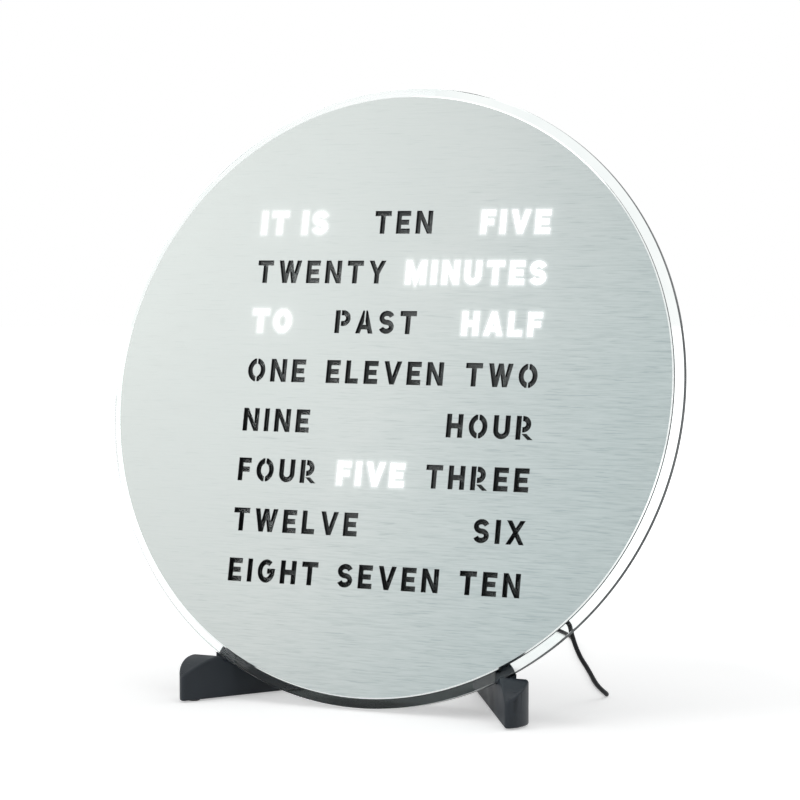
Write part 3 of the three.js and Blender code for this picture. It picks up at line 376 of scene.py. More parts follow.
def oval(x, y, rx, ry, start, stop, steps=22):
    """Points on part of an ellipse, between two turns in degrees."""
    turns = [radians(start + (stop - start) * k / steps) for k in range(steps + 1)]
    return [(x + rx * cos(t), y + ry * sin(t)) for t in turns]


def stroke(path):
    """The outline of a line of even width along a path."""
    left, right = [], []
    for i, point in enumerate(path):
        p = np.array(point, float)
        before = unit(p - np.array(path[i - 1])) if i else unit(np.array(path[1]) - p)
        after = unit(np.array(path[i + 1]) - p) if i < len(path) - 1 else before
        along = unit(before + after)
        reach = HALF / float(along @ before)
        left.append((p[0] - along[1] * reach, p[1] + along[0] * reach))
        right.insert(0, (p[0] + along[1] * reach, p[1] - along[0] * reach))
    return left + right


def mirrored(half, w):
    """A letter of width w from its right half, which goes from the bottom up."""
    return [half + [(w - x, y) for x, y in half[::-1]]]


def letter_outlines(letter, w):
    """The outlines of a letter of width w, from its lower left corner."""
    s, c, h, b = STROKE, CAP, HALF, BRIDGE
    half, short = w / 2, w * 0.9
    mid_up, mid_down = (c + s) / 2, (c - s) / 2
    if letter == "I":
        return [[(0, 0), (s, 0), (s, c), (0, c)]]
    if letter == "T":
        return mirrored([(half + h, 0), (half + h, c - s), (w, c - s), (w, c)], w)
    if letter in "EF":
        top = [(s, mid_down), (short, mid_down), (short, mid_up), (s, mid_up), (s, c - s),
               (w, c - s), (w, c), (0, c)]
        return [([(0, 0), (w, 0), (w, s), (s, s)] if letter == "E" else [(0, 0), (s, 0)]) + top]
    if letter == "L":
        return [[(0, 0), (w, 0), (w, s), (s, s), (s, c), (0, c)]]
    if letter == "H":
        return mirrored([
            (w - s, mid_down), (w - s, 0), (w, 0), (w, c), (w - s, c), (w - s, mid_up)], w)
    if letter == "N":
        fall = c / (w - s)
        return [[(0, 0), (s, 0), (s, c - s * fall), (w - s, 0), (w, 0), (w, c), (w - s, c),
                 (w - s, s * fall), (s, c), (0, c)]]
    if letter == "M":
        low = c * 0.4
        fall = (c - low) / (half - s)
        return mirrored([
            (half, c - half * fall), (w - s, c - s * fall), (w - s, 0), (w, 0), (w, c), (w - s, c),
            (half, low)], w)
    if letter == "V":
        rise = c / (half - h)
        return mirrored([(half + h, 0), (w, c), (w - s, c), (half, c - (half - s) * rise)], w)
    if letter == "W":
        arm = (w + s) / 4
        rise = c / (arm - h)
        return mirrored([
            (half, (half - arm - h) * rise), (w - arm - h, 0), (w - arm + h, 0), (w, c), (w - s, c),
            (w - arm, c - (arm - s) * rise), (half + h, c)], w)
    if letter == "X":
        notch = c / 2 - (half - s) * c / (w - s)
        return mirrored([
            (half, c / 2 - notch), (w - s, 0), (w, 0), (half + h, c / 2), (w, c), (w - s, c),
            (half, c / 2 + notch)], w)
    if letter == "A":
        rise = c / (half - h)
        low = c * 0.18
        high = low + s * 0.9
        gap = half + b / 2
        return mirrored([
            (w - s - low / rise, low), (w - s, 0), (w, 0), (half + h, c), (gap, c),
            (gap, (w - gap - s) * rise), (w - s - high / rise, high)], w)
    if letter == "U":
        r = half - h
        return [stroke([(h, c), *oval(half, h + r, r, r, 180, 360), (w - h, c)])]
    if letter == "O":
        bowl = oval(half, c / 2, half - h, c / 2 - h, 118, 242)
        left = [(half - b / 2, c - h), (half - b, c - h), *bowl, (half - b, h), (half - b / 2, h)]
        return [stroke(left), stroke([(w - x, y) for x, y in left])]
    if letter == "G":
        bowl = oval(half, c / 2, half - h, c / 2 - h, 52, 360, 30)
        return [stroke([*bowl, (short - w / 3, c / 2)])]
    if letter == "S":
        rx, ry = half - h, (c - s) / 4
        high, low = oval(half, c - h - ry, rx, ry, 20, 270), oval(half, h + ry, rx, ry, 90, -160)
        return [stroke(high + low[1:])]
    if letter == "P":
        low = c * 0.42
        r = (c - h - low) / 2
        start = s + b
        return [[(0, 0), (s, 0), (s, c), (0, c)],
                stroke([(start, c - h), *oval(w - h - r, low + r, r, r, 90, -90), (start, low)])]
    if letter == "R":
        top = c * 0.42 - h - b
        leg = [(half - h, top), (w - s, 0), (w, 0), (half + h, top)]
        return letter_outlines("P", w - h) + [leg]
    fork = c * 0.42
    rise = (c - fork) / (half - h)
    return mirrored([
        (half + h, 0), (half + h, fork), (w, c), (w - s, c), (half, c - (half - s) * rise)], w)


def letter_width(letter):
    return max(SHARES[letter] * CAP, STROKE)


def advance(letter):
    return SPACE - GAP if letter == " " else letter_width(letter) + GAP


def word_length(word):
    return sum(advance(letter) for letter in word) - GAP


words = []
for r, row in enumerate(ROWS):
    floor = FIRST_TOP - CAP - r * PITCH
    first, last = -LEFT, RIGHT_EDGE - word_length(row[-1])
    starts = [first, last]
    if len(row) == 3:
        starts.insert(1, (first + word_length(row[0]) + last - word_length(row[1])) / 2)
    for k, (word, x) in enumerate(zip(row, starts)):
        words.append(dict(word=word, x=x, y=floor, lit=(r, k) in LIT, length=word_length(word)))


lit_words = [word for word in words if word["lit"]]


def tidy_outline(points, least=0.02):
    """An outline without doubled points, anticlockwise."""
    kept = []
    for p in points:
        if not kept or dist(p, kept[-1]) > least:
            kept.append(tuple(p))
    if dist(kept[0], kept[-1]) < least:
        kept.pop()
    area = sum(a[0] * b[1] - b[0] * a[1] for a, b in zip(kept, kept[1:] + kept[:1]))
    return kept if area > 0 else kept[::-1]


letter_holes = []
for word in words:
    pen = word["x"]
    for letter in word["word"]:
        if letter != " ":
            for outline in letter_outlines(letter, letter_width(letter)):
                moved = [(pen + x, word["y"] + y) for x, y in outline]
                letter_holes.append((tidy_outline(moved), word["lit"]))
        pen += advance(letter)


# Meshes
WELD = 0.0005
ROUND_SIDES, BOSS_SIDES = 256, 32


def from_bmesh(name, bm, sharp=35):
    """Welds, turns the faces outwards, smooths all but sharp edges and makes the object."""
    bmesh.ops.remove_doubles(bm, verts=bm.verts, dist=WELD * MM)
    bmesh.ops.recalc_face_normals(bm, faces=bm.faces)
    for face in bm.faces:
        face.smooth = True
    for edge in bm.edges:
        edge.smooth = len(edge.link_faces) == 2 and edge.calc_face_angle(0) < radians(sharp)
    thing = link(name, mesh_of(bm, name))
    normals = thing.modifiers.new("normals", "WEIGHTED_NORMAL")
    normals.keep_sharp, normals.weight = True, 60
    return thing


def dress(thing, materials, slot, replaced=(), body="clock"):
    """Gives a piece its materials, the nodes that it stands for and its body; the slot is not used.
    """
    for material in materials:
        thing.data.materials.append(material)
    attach(thing, body)
    if replaced:
        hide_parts(*replaced)


def make(name, bm, sharp, *dressing):
    """A dressed piece from a bmesh."""
    thing = from_bmesh(name, bm, sharp)
    dress(thing, *dressing)
    return thing


def bezier(points, steps):
    """Points on the curve that starts and ends at the outer points and is pulled by the others."""
    out = []
    for k in range(steps + 1):
        row = [np.array(p, float) for p in points]
        while len(row) > 1:
            row = [a + (b - a) * k / steps for a, b in zip(row, row[1:])]
        out.append(tuple(row[0]))
    return out


def rounded(profile, radius, steps):
    """An open profile with its inner corners rounded."""
    out = [profile[0]]
    for a, b, c in zip(profile, profile[1:], profile[2:]):
        a, b, c = (np.array(p, float) for p in (a, b, c))
        reach = min(radius, 0.45 * np.linalg.norm(a - b), 0.45 * np.linalg.norm(c - b))
        out += bezier((b + unit(a - b) * reach, b, b + unit(c - b) * reach), steps)
    out.append(profile[-1])
    return out


def walls(bm, rings):
    """Faces between closed rings that follow each other."""
    faces = []
    for a, b in zip(rings, rings[1:]):
        for k in range(len(a)):
            n = (k + 1) % len(a)
            faces.append(bm.faces.new((a[k], a[n], b[n], b[k])))
    return faces


def lathe(bm, profile, sides, origin=at(0, 0, 0), axis=BACK, across=RIGHT):
    """Turns a profile of (radius, along) pairs, in millimetres, round an axis."""
    third = axis.cross(across)
    turns = [2 * pi * k / sides for k in range(sides)]
    ways = [across * cos(turn) + third * sin(turn) for turn in turns]
    walls(bm, [
        [bm.verts.new(origin + (axis * along + way * max(radius, 1e-4)) * MM) for way in ways]
        for radius, along in profile])


def block(bm, middle, size):
    """A box, in millimetres."""
    verts = bmesh.ops.create_cube(bm, size=1)["verts"]
    for v in verts:
        v.co = Vector([m + s * c for m, s, c in zip(middle, size, v.co)]) * MM
    return verts


def combine(base, tool, operation):
    """Cuts, joins or meets a piece with a tool that is used up."""
    step = base.modifiers.new("step", "BOOLEAN")
    step.object, step.operation, step.solver = tool, operation, "EXACT"
    depsgraph = bpy.context.evaluated_depsgraph_get()
    mesh = bpy.data.meshes.new_from_object(base.evaluated_get(depsgraph))
    base.modifiers.clear()
    base.data = mesh
    bpy.data.objects.remove(tool)
    return base


def offset(points, distance):
    """An anticlockwise outline moved outwards."""
    out = []
    count = len(points)
    for i, p in enumerate(points):
        a = unit(np.array(p) - np.array(points[i - 1]))
        b = unit(np.array(points[(i + 1) % count]) - np.array(p))
        n1, n2 = np.array((a[1], -a[0])), np.array((b[1], -b[0]))
        mitre = (n1 + n2) / max(1 + n1 @ n2, 0.35)
        out.append(tuple(np.array(p) + mitre * distance))
    return out


def inside(points, outline):
    """Which of the points lie inside the outline."""
    x, y = points[:, 0], points[:, 1]
    within = np.zeros(len(points), bool)
    for (x0, y0), (x1, y1) in zip(outline, outline[1:] + outline[:1]):
        crosses = (y0 > y) != (y1 > y)
        with np.errstate(divide="ignore", invalid="ignore"):
            within ^= crosses & (x < (x1 - x0) * (y - y0) / (y1 - y0) + x0)
    return within


def distance_to(points, outlines):
    """Least distance of each point to the outlines."""
    best = np.full(len(points), 1e9)
    for outline in outlines:
        for a, b in zip(outline, outline[1:] + outline[:1]):
            a, b = np.array(a), np.array(b)
            way = b - a
            t = np.clip(((points - a) @ way) / (way @ way), 0, 1)
            best = np.minimum(best, np.linalg.norm(points - a - t[:, None] * way, axis=1))
    return best


def sheet_faces(bm, loops, points, back, flip):
    """Adds a flat sheet between the first loop and the other loops, on the plane at that depth."""
    coords, edges = [], []
    for loop in loops:
        base = len(coords)
        coords += [Vector(p) for p in loop]
        edges += [(base + k, base + (k + 1) % len(loop)) for k in range(len(loop))]
    coords += [Vector(p) for p in points]
    flat, _, faces, *_ = delaunay_2d_cdt(coords, edges, [], 0, 1e-5)
    centres = np.array([np.mean([flat[i] for i in face], axis=0) for face in faces])
    keep = np.ones(len(faces), bool)
    for hole in loops[1:]:
        keep &= ~inside(centres, hole)
    verts = [bm.verts.new(at(p[0], back, p[1])) for p in flat]
    for face, kept in zip(faces, keep):
        if kept:
            bm.faces.new([verts[i] for i in (reversed(face) if flip else face)])


def holed_plate(outer, holes, front, back, chamfer, marks, points=(), rim=None, rim_mark=0):
    """A plate with holes and chamfered edges on its shown side, as a bmesh."""
    rim = rim or abs(chamfer)
    bm = bmesh.new()
    shown, hidden = (back, front) if chamfer < 0 else (front, back)
    depth = abs(chamfer)
    way = 1 if chamfer > 0 else -1
    loops_shown = [offset(outer, -rim)] + [offset(hole, depth) for hole in holes]
    loops_full = [outer, *holes]
    sheet_faces(bm, loops_shown, points, shown, False)
    sheet_faces(bm, loops_full, [], hidden, True)
    for index, (edge_loop, full_loop) in enumerate(zip(loops_shown, loops_full)):
        level = shown + way * (depth if index else rim)
        rings = [[bm.verts.new(at(x, back, y)) for x, y in loop] for loop, back in (
            (edge_loop, shown), (full_loop, level), (full_loop, hidden))]
        for step, mark in enumerate((marks[index] if index else rim_mark, marks[index])):
            for face in walls(bm, rings[step:step + 2]):
                face.material_index = mark
    return bm


def circle(radius, sides, x=0.0, y=0.0):
    turns = [2 * pi * k / sides for k in range(sides)]
    return [(x + radius * cos(t), y + radius * sin(t)) for t in turns]


# Materials
def brushed_metal(name):
    """Metal brushed from side to side, with the light of the lit words round their edges; painted
    light makes it brightest across the middle, warmer towards the upper left and cooler towards the
    lower right, and painted sheen makes the brush lines stronger towards the lower right.
    """
    s = Shader(name)
    across, up = plane_places(s)
    lines = s.noise(1, 3, 0.65, (60, 1300, 1300))
    fine = s.noise(1, 2, 0.6, (110, 3400, 3400))
    cloud = s.noise(9, 2, 0.5)
    dashes = s.noise(1, 2, 0.5, (75, 2000, 2000))
    tone = s.blend(lines, 0.65, fine, 0.35)
    # Painted sheen: the brush lines grow stronger towards the lower right, where the reflection
    # would show them.
    painted_sheen_strength = s.between(s.math("MULTIPLY_ADD", up, -0.8, across), 0.3, 1.25, -60, 140)
    cuts = s.math("MULTIPLY", s.between(dashes, 0.3, 0.0, 0.28, 0.4), painted_sheen_strength)
    drawn = s.math("MULTIPLY_ADD", s.math("SUBTRACT", tone, 0.5), painted_sheen_strength, 0.5, clamp=True)
    drawn = s.math("SUBTRACT", drawn, cuts, clamp=True)
    colour = s.ramp(drawn, ((157, 165, 165), (174, 181, 180), (184, 190, 189)), (0.3, 0.5, 0.72))
    colour = s.mixed(s.between(cloud, 0.0, 0.25), colour, linear((168, 175, 175)))
    # Painted light: brightest across the middle, darker and warmer to the upper left, darker and
    # cooler to the lower right.
    place = s.math("MULTIPLY_ADD", up, -0.45, across)
    painted_light_tint = s.ramp(
        s.between(place, 0.0, 1.0, -130, 130), ((244, 241, 239), (252, 250, 249), (244, 249, 250)))
    colour = s.mixed(1.0, colour, painted_light_tint, "MULTIPLY")
    s.bump(drawn, 0.012, 0.25)
    s.glow(s.add("ShaderNodeAttribute", attribute_name="glow").outputs["Fac"])
    return s.set(
        Base_Color=colour, Roughness=s.between(tone, 0.36, 0.44), Metallic=0.86,
        Specular_IOR_Level=0.5)


CLEAR_IOR = 1.2


def clear_plastic(name, wall=False):
    """Clear plastic; as a wall, the polished edge, with a painted dark reflection where it turns to
    the right: there it is dark and opaque.
    """
    s = Shader(name)
    haze = s.noise(60, 3, 0.6)
    s.bump(haze, 0.0005, 0.05)
    clear = s.ramp(haze, ((241, 247, 246), (250, 253, 252)), (0.3, 0.7))
    rough = s.between(haze, 0.0, 0.03)
    if not wall:
        return s.set(Base_Color=clear, Roughness=rough, IOR=CLEAR_IOR, Transmission_Weight=1.0)
    # Painted reflection: outside faces that turn to the right get a dark opaque colour instead of
    # clear plastic.
    shape = s.add("ShaderNodeNewGeometry").outputs
    outside = s.math("SUBTRACT", 1.0, shape["Backfacing"])
    turned = s.parts(shape["Normal"])
    dark = s.math("MULTIPLY", outside, s.between(turned["X"], 0.0, 1.0, 0.1, 0.5))
    streak = s.noise(1, 2, 0.6, (500, 90, 500))
    edge = s.tone(streak, (52, 57, 59), (84, 90, 92))
    return s.set(
        Base_Color=s.mixed(dark, clear, edge), Roughness=s.math("MULTIPLY_ADD", dark, 0.3, rough),
        Transmission_Weight=s.math("SUBTRACT", 1.0, dark), IOR=CLEAR_IOR)


def cut_edge(name, dark, light):
    """A cut edge of the plate, drawn through its thickness; its dark tones are painted shade."""
    s = Shader(name)
    rays = s.noise(1, 2, 0.6, (2600, 350, 2600))
    s.bump(rays, 0.02, 0.5)
    return s.set(
        Base_Color=s.tone(rays, dark, light),
        Roughness=s.between(rays, 0.45, 0.6), Metallic=0.3)


def lit_edge(name):
    """A cut edge in the light of a lit word."""
    s = Shader(name)
    mottle = s.noise(300, 2, 0.5)
    s.glow(s.between(mottle, 1.9, 2.1))
    return s.set(Base_Color=s.ramp(mottle, ((214, 218, 218), (230, 232, 232))), Roughness=0.5)


def smoked_diffuser(name, leak_reach=16):
    """Dark smoked sheet that glows behind the lit words and a little beside them."""
    s = Shader(name)
    across, up = plane_places(s)

    def outside(place, start, length):
        away = s.math("ABSOLUTE", s.math("SUBTRACT", place, start + length / 2))
        return s.math("MAXIMUM", s.math("SUBTRACT", away, length / 2), 0.0)

    lit = near = None
    for word in lit_words:
        away = s.length(outside(across, word["x"], word["length"]), outside(up, word["y"], CAP))
        full = s.between(away, 1.0, 0.0, 1.5, 3.0)
        leak = s.math("EXPONENT", s.math("MULTIPLY", away, -1 / leak_reach))
        lit = full if lit is None else s.math("MAXIMUM", lit, full)
        near = leak if near is None else s.math("ADD", near, leak)
    mottle = s.noise(140, 3, 0.6)
    s.glow(s.blend(lit, 4.0, near, 0.10))
    return s.set(
        Base_Color=s.tone(mottle, (46, 49, 50), (60, 63, 64)),
        Roughness=s.between(mottle, 0.35, 0.5))


def bright_metal(name, dark, light, rough, scale=500):
    """Bare metal with fine wear."""
    s = Shader(name)
    wear = s.noise(scale, 3, 0.6)
    drift = s.noise(40, 2, 0.5)
    tone = s.blend(wear, 0.6, drift, 0.4)
    s.bump(wear, 0.01, 0.3)
    return s.set(
        Base_Color=s.tone(tone, dark, light),
        Roughness=s.between(wear, rough - 0.06, rough + 0.08), Metallic=1.0)


def board(name, ground, track, cover):
    """Printed board: tracks and pads under a lacquer."""
    s = Shader(name)
    cells = s.add("ShaderNodeTexBrick", {
        "Scale": 140, "Mortar Size": 0.03, "Color1": linear(ground), "Color2": linear(cover),
        "Mortar": linear(track), "Vector": s.place})
    speckle = s.noise(900, 2, 0.5)
    s.bump(cells.outputs["Fac"], 0.03, 0.6)
    return s.set(
        Base_Color=s.mixed(s.between(speckle, 0.0, 0.25), cells.outputs["Color"], linear(ground)),
        Roughness=s.between(speckle, 0.3, 0.45))


face_metal = brushed_metal("face_metal")
# Painted shade: the letter walls and the plate's side get dark tones for the shade that falls in
# them.
painted_shade_cut_edge = cut_edge("cut_edge_painted_shade", (20, 22, 24), (44, 47, 50))
side_edge_painted_shade = cut_edge("plate_side_painted_shade", (26, 29, 31), (48, 52, 54))
edge_lit = lit_edge("lit_edge")
edge_bright = bright_metal("polished_rim", (232, 238, 237), (246, 249, 248), 0.12, 700)
acrylic = clear_plastic("clear_disc_plastic")
# The disc's edge carries a painted dark reflection where it turns to the right.
acrylic_edge_painted_dark = clear_plastic("clear_disc_edge_painted_dark", True)
smoked = smoked_diffuser("smoked_sheet")
# The feet get painted shade on their left-facing sides, which lose their shine.
foot_plastic = moulded(
    "foot_plastic", (28, 35, 42), (38, 46, 54), 0.36, 2400, 0.02, 0.33, painted_shade_left=True)
housing_plastic = moulded("housing_plastic", (30, 32, 34), (42, 44, 46), 0.52, 1700, 0.05)
button_plastic = moulded("button_plastic", (50, 54, 58), (66, 70, 74), 0.42)
plug_plastic = moulded("plug_plastic", (24, 25, 27), (36, 37, 39), 0.48, 2200, 0.03)
cord_jacket = moulded("cord_jacket", (8, 9, 13), (14, 15, 20), 0.45, 3000, 0.015, 0.2)
dark_part = moulded("dark_part", (22, 23, 25), (34, 35, 37), 0.36, 3200, 0.01)
rubber = moulded("rubber", (18, 18, 19), (30, 30, 31), 0.85, 1500, 0.06, 0.3)
foam = moulded("foam", (20, 21, 22), (38, 39, 40), 0.92, 900, 0.15, 0.2)
zinc = bright_metal("zinc", (150, 153, 156), (196, 199, 202), 0.30)
shell_metal = bright_metal("shell_metal", (158, 160, 162), (204, 206, 208), 0.26, 300)
contact_metal = bright_metal("contact_metal", (190, 150, 80), (222, 184, 112), 0.28)
green_board = board("green_board", (26, 86, 56), (58, 128, 84), (22, 74, 48))
white_board = board("white_board", (224, 226, 224), (190, 196, 194), (232, 233, 231))
tongue_plastic = moulded("tongue_plastic", (214, 214, 210), (230, 230, 226), 0.4)

# Nodes that are shown as the frame has them
PADS = [f"{side}_{end}_pad" for side in ("left", "right") for end in ("front", "rear")]
CARRIED = {
    smoked: ["diffuser"],
    foam: ["tape_ring", "light_grid"],
    rubber: PADS + ["cord_tie"],
    green_board: ["control_board"],
    white_board: ["strip_board"] + [f"light_strip_{k}" for k in range(1, 9)],
    zinc: ["coin_cell"] + [f"strip_board_screw_{k}" for k in range(1, 5)]
    + [f"board_screw_{k}" for k in range(1, 5)],
    shell_metal: ["usb_shell"],
    dark_part: ["processor", "cell_clip", "strip_lead", "hour_switch", "minute_switch",
                "brightness_switch", "power_socket"],
    plug_plastic: ["power_plug"],
}
for material, names in CARRIED.items():
    for name in names:
        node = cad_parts[name]
        node.data.materials.clear()
        node.data.materials.append(material)


def soften(name, width, segments=2, angle=40):
    """Rounds a carried-over node's edges."""
    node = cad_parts[name]
    weld = node.modifiers.new("weld", "WELD")
    weld.merge_threshold = 4 * WELD * MM
    bevel = node.modifiers.new("bevel", "BEVEL")
    bevel.width, bevel.segments = width * MM, segments
    bevel.limit_method, bevel.angle_limit = "ANGLE", radians(angle)


# Face plate, with added points round the lit words that carry their glow
lit_outlines = [outline for outline, lit in letter_holes if lit]
all_outlines = [outline for outline, _ in letter_holes]
scatter = []
WORD_REACH, ROW_REACH = 25, CAP * 2.6
NEAR_GRID, FAR_GRID = (0.45, 0.3, 2.4), (1.5, 2.4, 10)
for spacing, nearest, farthest in (NEAR_GRID, FAR_GRID):
    for word in lit_words:
        xs = np.arange(word["x"] - farthest, word["x"] + word["length"] + farthest, spacing)
        ys = np.arange(word["y"] - farthest, word["y"] + CAP + farthest, spacing)
        grid = np.array([(x, y) for x in xs for y in ys])
        near = [o for o in all_outlines if
                abs(o[0][1] - word["y"] - CAP / 2) < ROW_REACH
                and -WORD_REACH < o[0][0] - word["x"] < word["length"] + WORD_REACH]
        gap = distance_to(grid, near)
        keep = (gap >= nearest) & (gap < farthest)
        for outline in near:
            keep &= ~inside(grid, outline)
        scatter += [tuple(p) for p in grid[keep]]

marks = [1] + [3 if lit else 2 for _, lit in letter_holes]
face_bm = holed_plate(
    circle(PLATE_RADIUS, ROUND_SIDES), all_outlines, 0.0, PLATE_BACK, 0.14, marks, scatter,
    rim=0.55, rim_mark=4)
face = from_bmesh("brushed_face", face_bm, sharp=25)
co = np.zeros(len(face.data.vertices) * 3)
face.data.vertices.foreach_get("co", co)
co = co.reshape(-1, 3) / MM
flat_places = np.stack([
    co[:, 0],
    (co[:, 1] - SHIFT) * sin(LEAN) + (co[:, 2] - CENTRE) * cos(LEAN),
], axis=1)
gap = distance_to(flat_places, lit_outlines)
NEAR_GLOW, NEAR_REACH, FAR_GLOW, FAR_REACH, GLOW_END = 0.30, 1.0, 0.045, 4, 14
glow = NEAR_GLOW * np.exp(-(gap / NEAR_REACH) ** 2) + FAR_GLOW * np.exp(-gap / FAR_REACH)
glow[gap > GLOW_END] = 0
attribute = face.data.attributes.new("glow", "FLOAT", "POINT")
attribute.data.foreach_set("value", glow.astype(np.float32))
dress(face, [face_metal, side_edge_painted_shade, painted_shade_cut_edge, edge_lit, edge_bright],
      "brushed_face", ["face_plate"])

# Clear disc with polished edges
disc_bm = bmesh.new()
lathe(disc_bm, rounded([
    (0, DISC_FRONT), (DISC_RADIUS, DISC_FRONT), (DISC_RADIUS, DISC_BACK), (0, DISC_BACK),
], 0.35, 3), 320)
for wall_face in disc_bm.faces:
    middle_at = wall_face.calc_center_median() - at(0, 0, 0)
    if (middle_at - BACK * middle_at.dot(BACK)).length > (DISC_RADIUS - SEAT_GAP) * MM:
        wall_face.material_index = 1
make("clear_plate", disc_bm, 50, [acrylic, acrylic_edge_painted_dark], "clear_acrylic", ["clear_disc"])

# Rear housing
housing_bm = bmesh.new()
lathe(housing_bm, rounded([
    (FLANGE_RADIUS, FLANGE_MIDDLE), (FLANGE_RADIUS, HOUSING_FRONT), (HOUSING_RADIUS, HOUSING_FRONT),
    (HOUSING_RADIUS, COVER_BACK), (HOUSING_RADIUS - WALL, COVER_BACK),
    (HOUSING_RADIUS - WALL, FLANGE_BACK), (FLANGE_RADIUS, FLANGE_BACK),
    (FLANGE_RADIUS, FLANGE_MIDDLE),
], 0.9, 4), ROUND_SIDES)
boss_turns = [2 * pi * k / SCREW_COUNT for k in range(SCREW_COUNT)]
boss_places = [(BOSS_RING * sin(turn), BOSS_RING * cos(turn)) for turn in boss_turns]
for x, up in boss_places:
    lathe(housing_bm, [
        (0, BOSS_FRONT), (BOSS_RADIUS, BOSS_FRONT), (BOSS_RADIUS, BOSS_BACK),
        (HOLE_RADIUS, BOSS_BACK), (HOLE_RADIUS, BOSS_FLOOR), (0, BOSS_FLOOR),
    ], BOSS_SIDES, at(x, 0, up))
make("housing_ring", housing_bm, 40, [housing_plastic], "black_housing", ["rear_housing"])


# Back cover with its vents, holes and posts
def slot_outline(x, y, length, width, steps=8):
    r = width / 2
    out = length / 2 - r
    return oval(x + out, y, r, r, -90, 90, steps) + oval(x - out, y, r, r, 90, 270, steps)


cover_holes = [circle(HOLE_RADIUS, 24, x, up) for x, up in boss_places]
cover_holes += [circle(BUTTON_HOLE, 36, x, -BOARD_DOWN) for x in BUTTON_X]
cover_holes += [circle(JACK_HOLE, 36, *JACK)]
cover_holes += [
    slot_outline(side * VENT_OUT, VENT_UP - VENT_PITCH * k, VENT_LENGTH, VENT_WIDTH)
    for side in (-1, 1) for k in range(VENT_COUNT)]
cover_bm = holed_plate(
    circle(COVER_RADIUS, ROUND_SIDES), cover_holes, COVER_FRONT, COVER_BACK, -0.35,
    [0] * (len(cover_holes) + 1))
for x in POST_X:
    for rise in (-POST_RISE, POST_RISE):
        lathe(cover_bm, [
            (HOLE_RADIUS, COVER_FRONT), (HOLE_RADIUS, POST_FRONT),
            (POST_RADIUS, POST_FRONT), (POST_RADIUS, COVER_FRONT),
        ], BOSS_SIDES, at(x, 0, rise - BOARD_DOWN))
make("rear_cover", cover_bm, 30, [housing_plastic], "black_housing", ["back_cover"])

# Cover screws: domed heads with a drive slot
for k, (x, up) in enumerate(boss_places):
    screw_bm = bmesh.new()
    seat = COVER_BACK + SEAT_GAP
    dome = [(0, seat + HEAD_RISE)] + [
        (HEAD_RADIUS * sin(t), seat + HEAD_RISE - DOME_RISE + DOME_RISE * cos(t))
        for t in np.linspace(0.15, pi / 2, 7)]
    lathe(screw_bm, dome + [
        (HEAD_RADIUS, seat), (SHANK_RADIUS, seat),
        (SHANK_RADIUS, seat - SHANK_LENGTH + SHANK_POINT), (0, seat - SHANK_LENGTH),
    ], 40, at(x, 0, up))
    screw = from_bmesh(f"rear_screw_{k + 1}", screw_bm, sharp=40)
    cutter_bm = bmesh.new()
    bmesh.ops.create_cube(cutter_bm, size=1)
    for v in cutter_bm.verts:
        p = v.co
        v.co = at(x + p.x * DRIVE_LENGTH, seat + (1 + p.y) * DRIVE_DEPTH, up + p.z * DRIVE_WIDTH)
    combine(screw, from_bmesh(f"slot_cutter_{k + 1}", cutter_bm), "DIFFERENCE")
    dress(screw, [zinc], "plain_steel", [f"cover_screw_{k + 1}"])

# Buttons with a shallow dish, and a collar behind the cover
KEY_RADIUS, KEY_TOP, COLLAR_RADIUS, COLLAR_FRONT, COLLAR_BACK = 3, 33.3, 4.2, 28.0, 29.0
DISH_DEPTHS = [(0, 0.3), (1.2, 0.27), (2.1, 0.15)]
dish = [(radius, KEY_TOP - depth) for radius, depth in DISH_DEPTHS]
key_side = rounded([
    dish[-1], (KEY_RADIUS, KEY_TOP), (KEY_RADIUS, COLLAR_BACK), (COLLAR_RADIUS, COLLAR_BACK),
    (COLLAR_RADIUS, COLLAR_FRONT), (0, COLLAR_FRONT)], 0.35, 3)
for name, x in zip(("hour", "minute", "brightness"), BUTTON_X):
    button_bm = bmesh.new()
    lathe(button_bm, dish + key_side[1:], 48, at(x, 0, -BOARD_DOWN))
    button = f"{name}_button"
    make(f"{name}_key", button_bm, 40, [button_plastic], "charcoal_feet", [button], button)

# Cord, its boots and the plug at its far end
curve = bpy.data.curves.new("lead", "CURVE")
curve.dimensions, curve.bevel_depth, curve.bevel_resolution = "3D", CORD_DIAMETER / 2 * MM, 5
curve.use_fill_caps = True
spline = curve.splines.new("POLY")
spline.points.add(len(route) - 1)
for point, place in zip(spline.points, route):
    point.co = (*place, 1)
spline.use_smooth = True
lead = link("lead", curve)
dress(lead, [cord_jacket], "cord_black", ["cord", "cord_coil", "cord_tail"])


def ribbed(length, start_radius, end_radius, ribs, groove=0.35):
    """A tapered strain relief with ribs, as (radius, along) pairs."""
    out = [(start_radius, 0)]
    for k in range(ribs):
        a = length * (0.12 + 0.8 * k / ribs)
        span = 0.8 * length / ribs
        for share, depth in ((0.0, 0), (0.12, groove), (0.45, groove), (0.57, 0)):
            t = (a + span * share) / length
            out.append((start_radius + (end_radius - start_radius) * t - depth, t * length))
    out.append((end_radius, length * 0.97))
    out.append((end_radius - 0.15, length))
    out.append((0, length))
    return out


plug_way = Vector(plug_place(1, 0, 0) - plug_place(0, 0, 0)).normalized()
boot_bm = bmesh.new()
lathe(boot_bm, [(0, 0)] + ribbed(BOOT_LENGTH, 2.88, 1.6, 5), 40,
      Vector(plug_place(BOOT_START, 0, PLUG_MIDDLE)) * MM, plug_way, BACK)
make("lead_boot", boot_bm, 40, [plug_plastic], "cord_black", ["plug_boot"])
soften("power_plug", 0.7, 3)

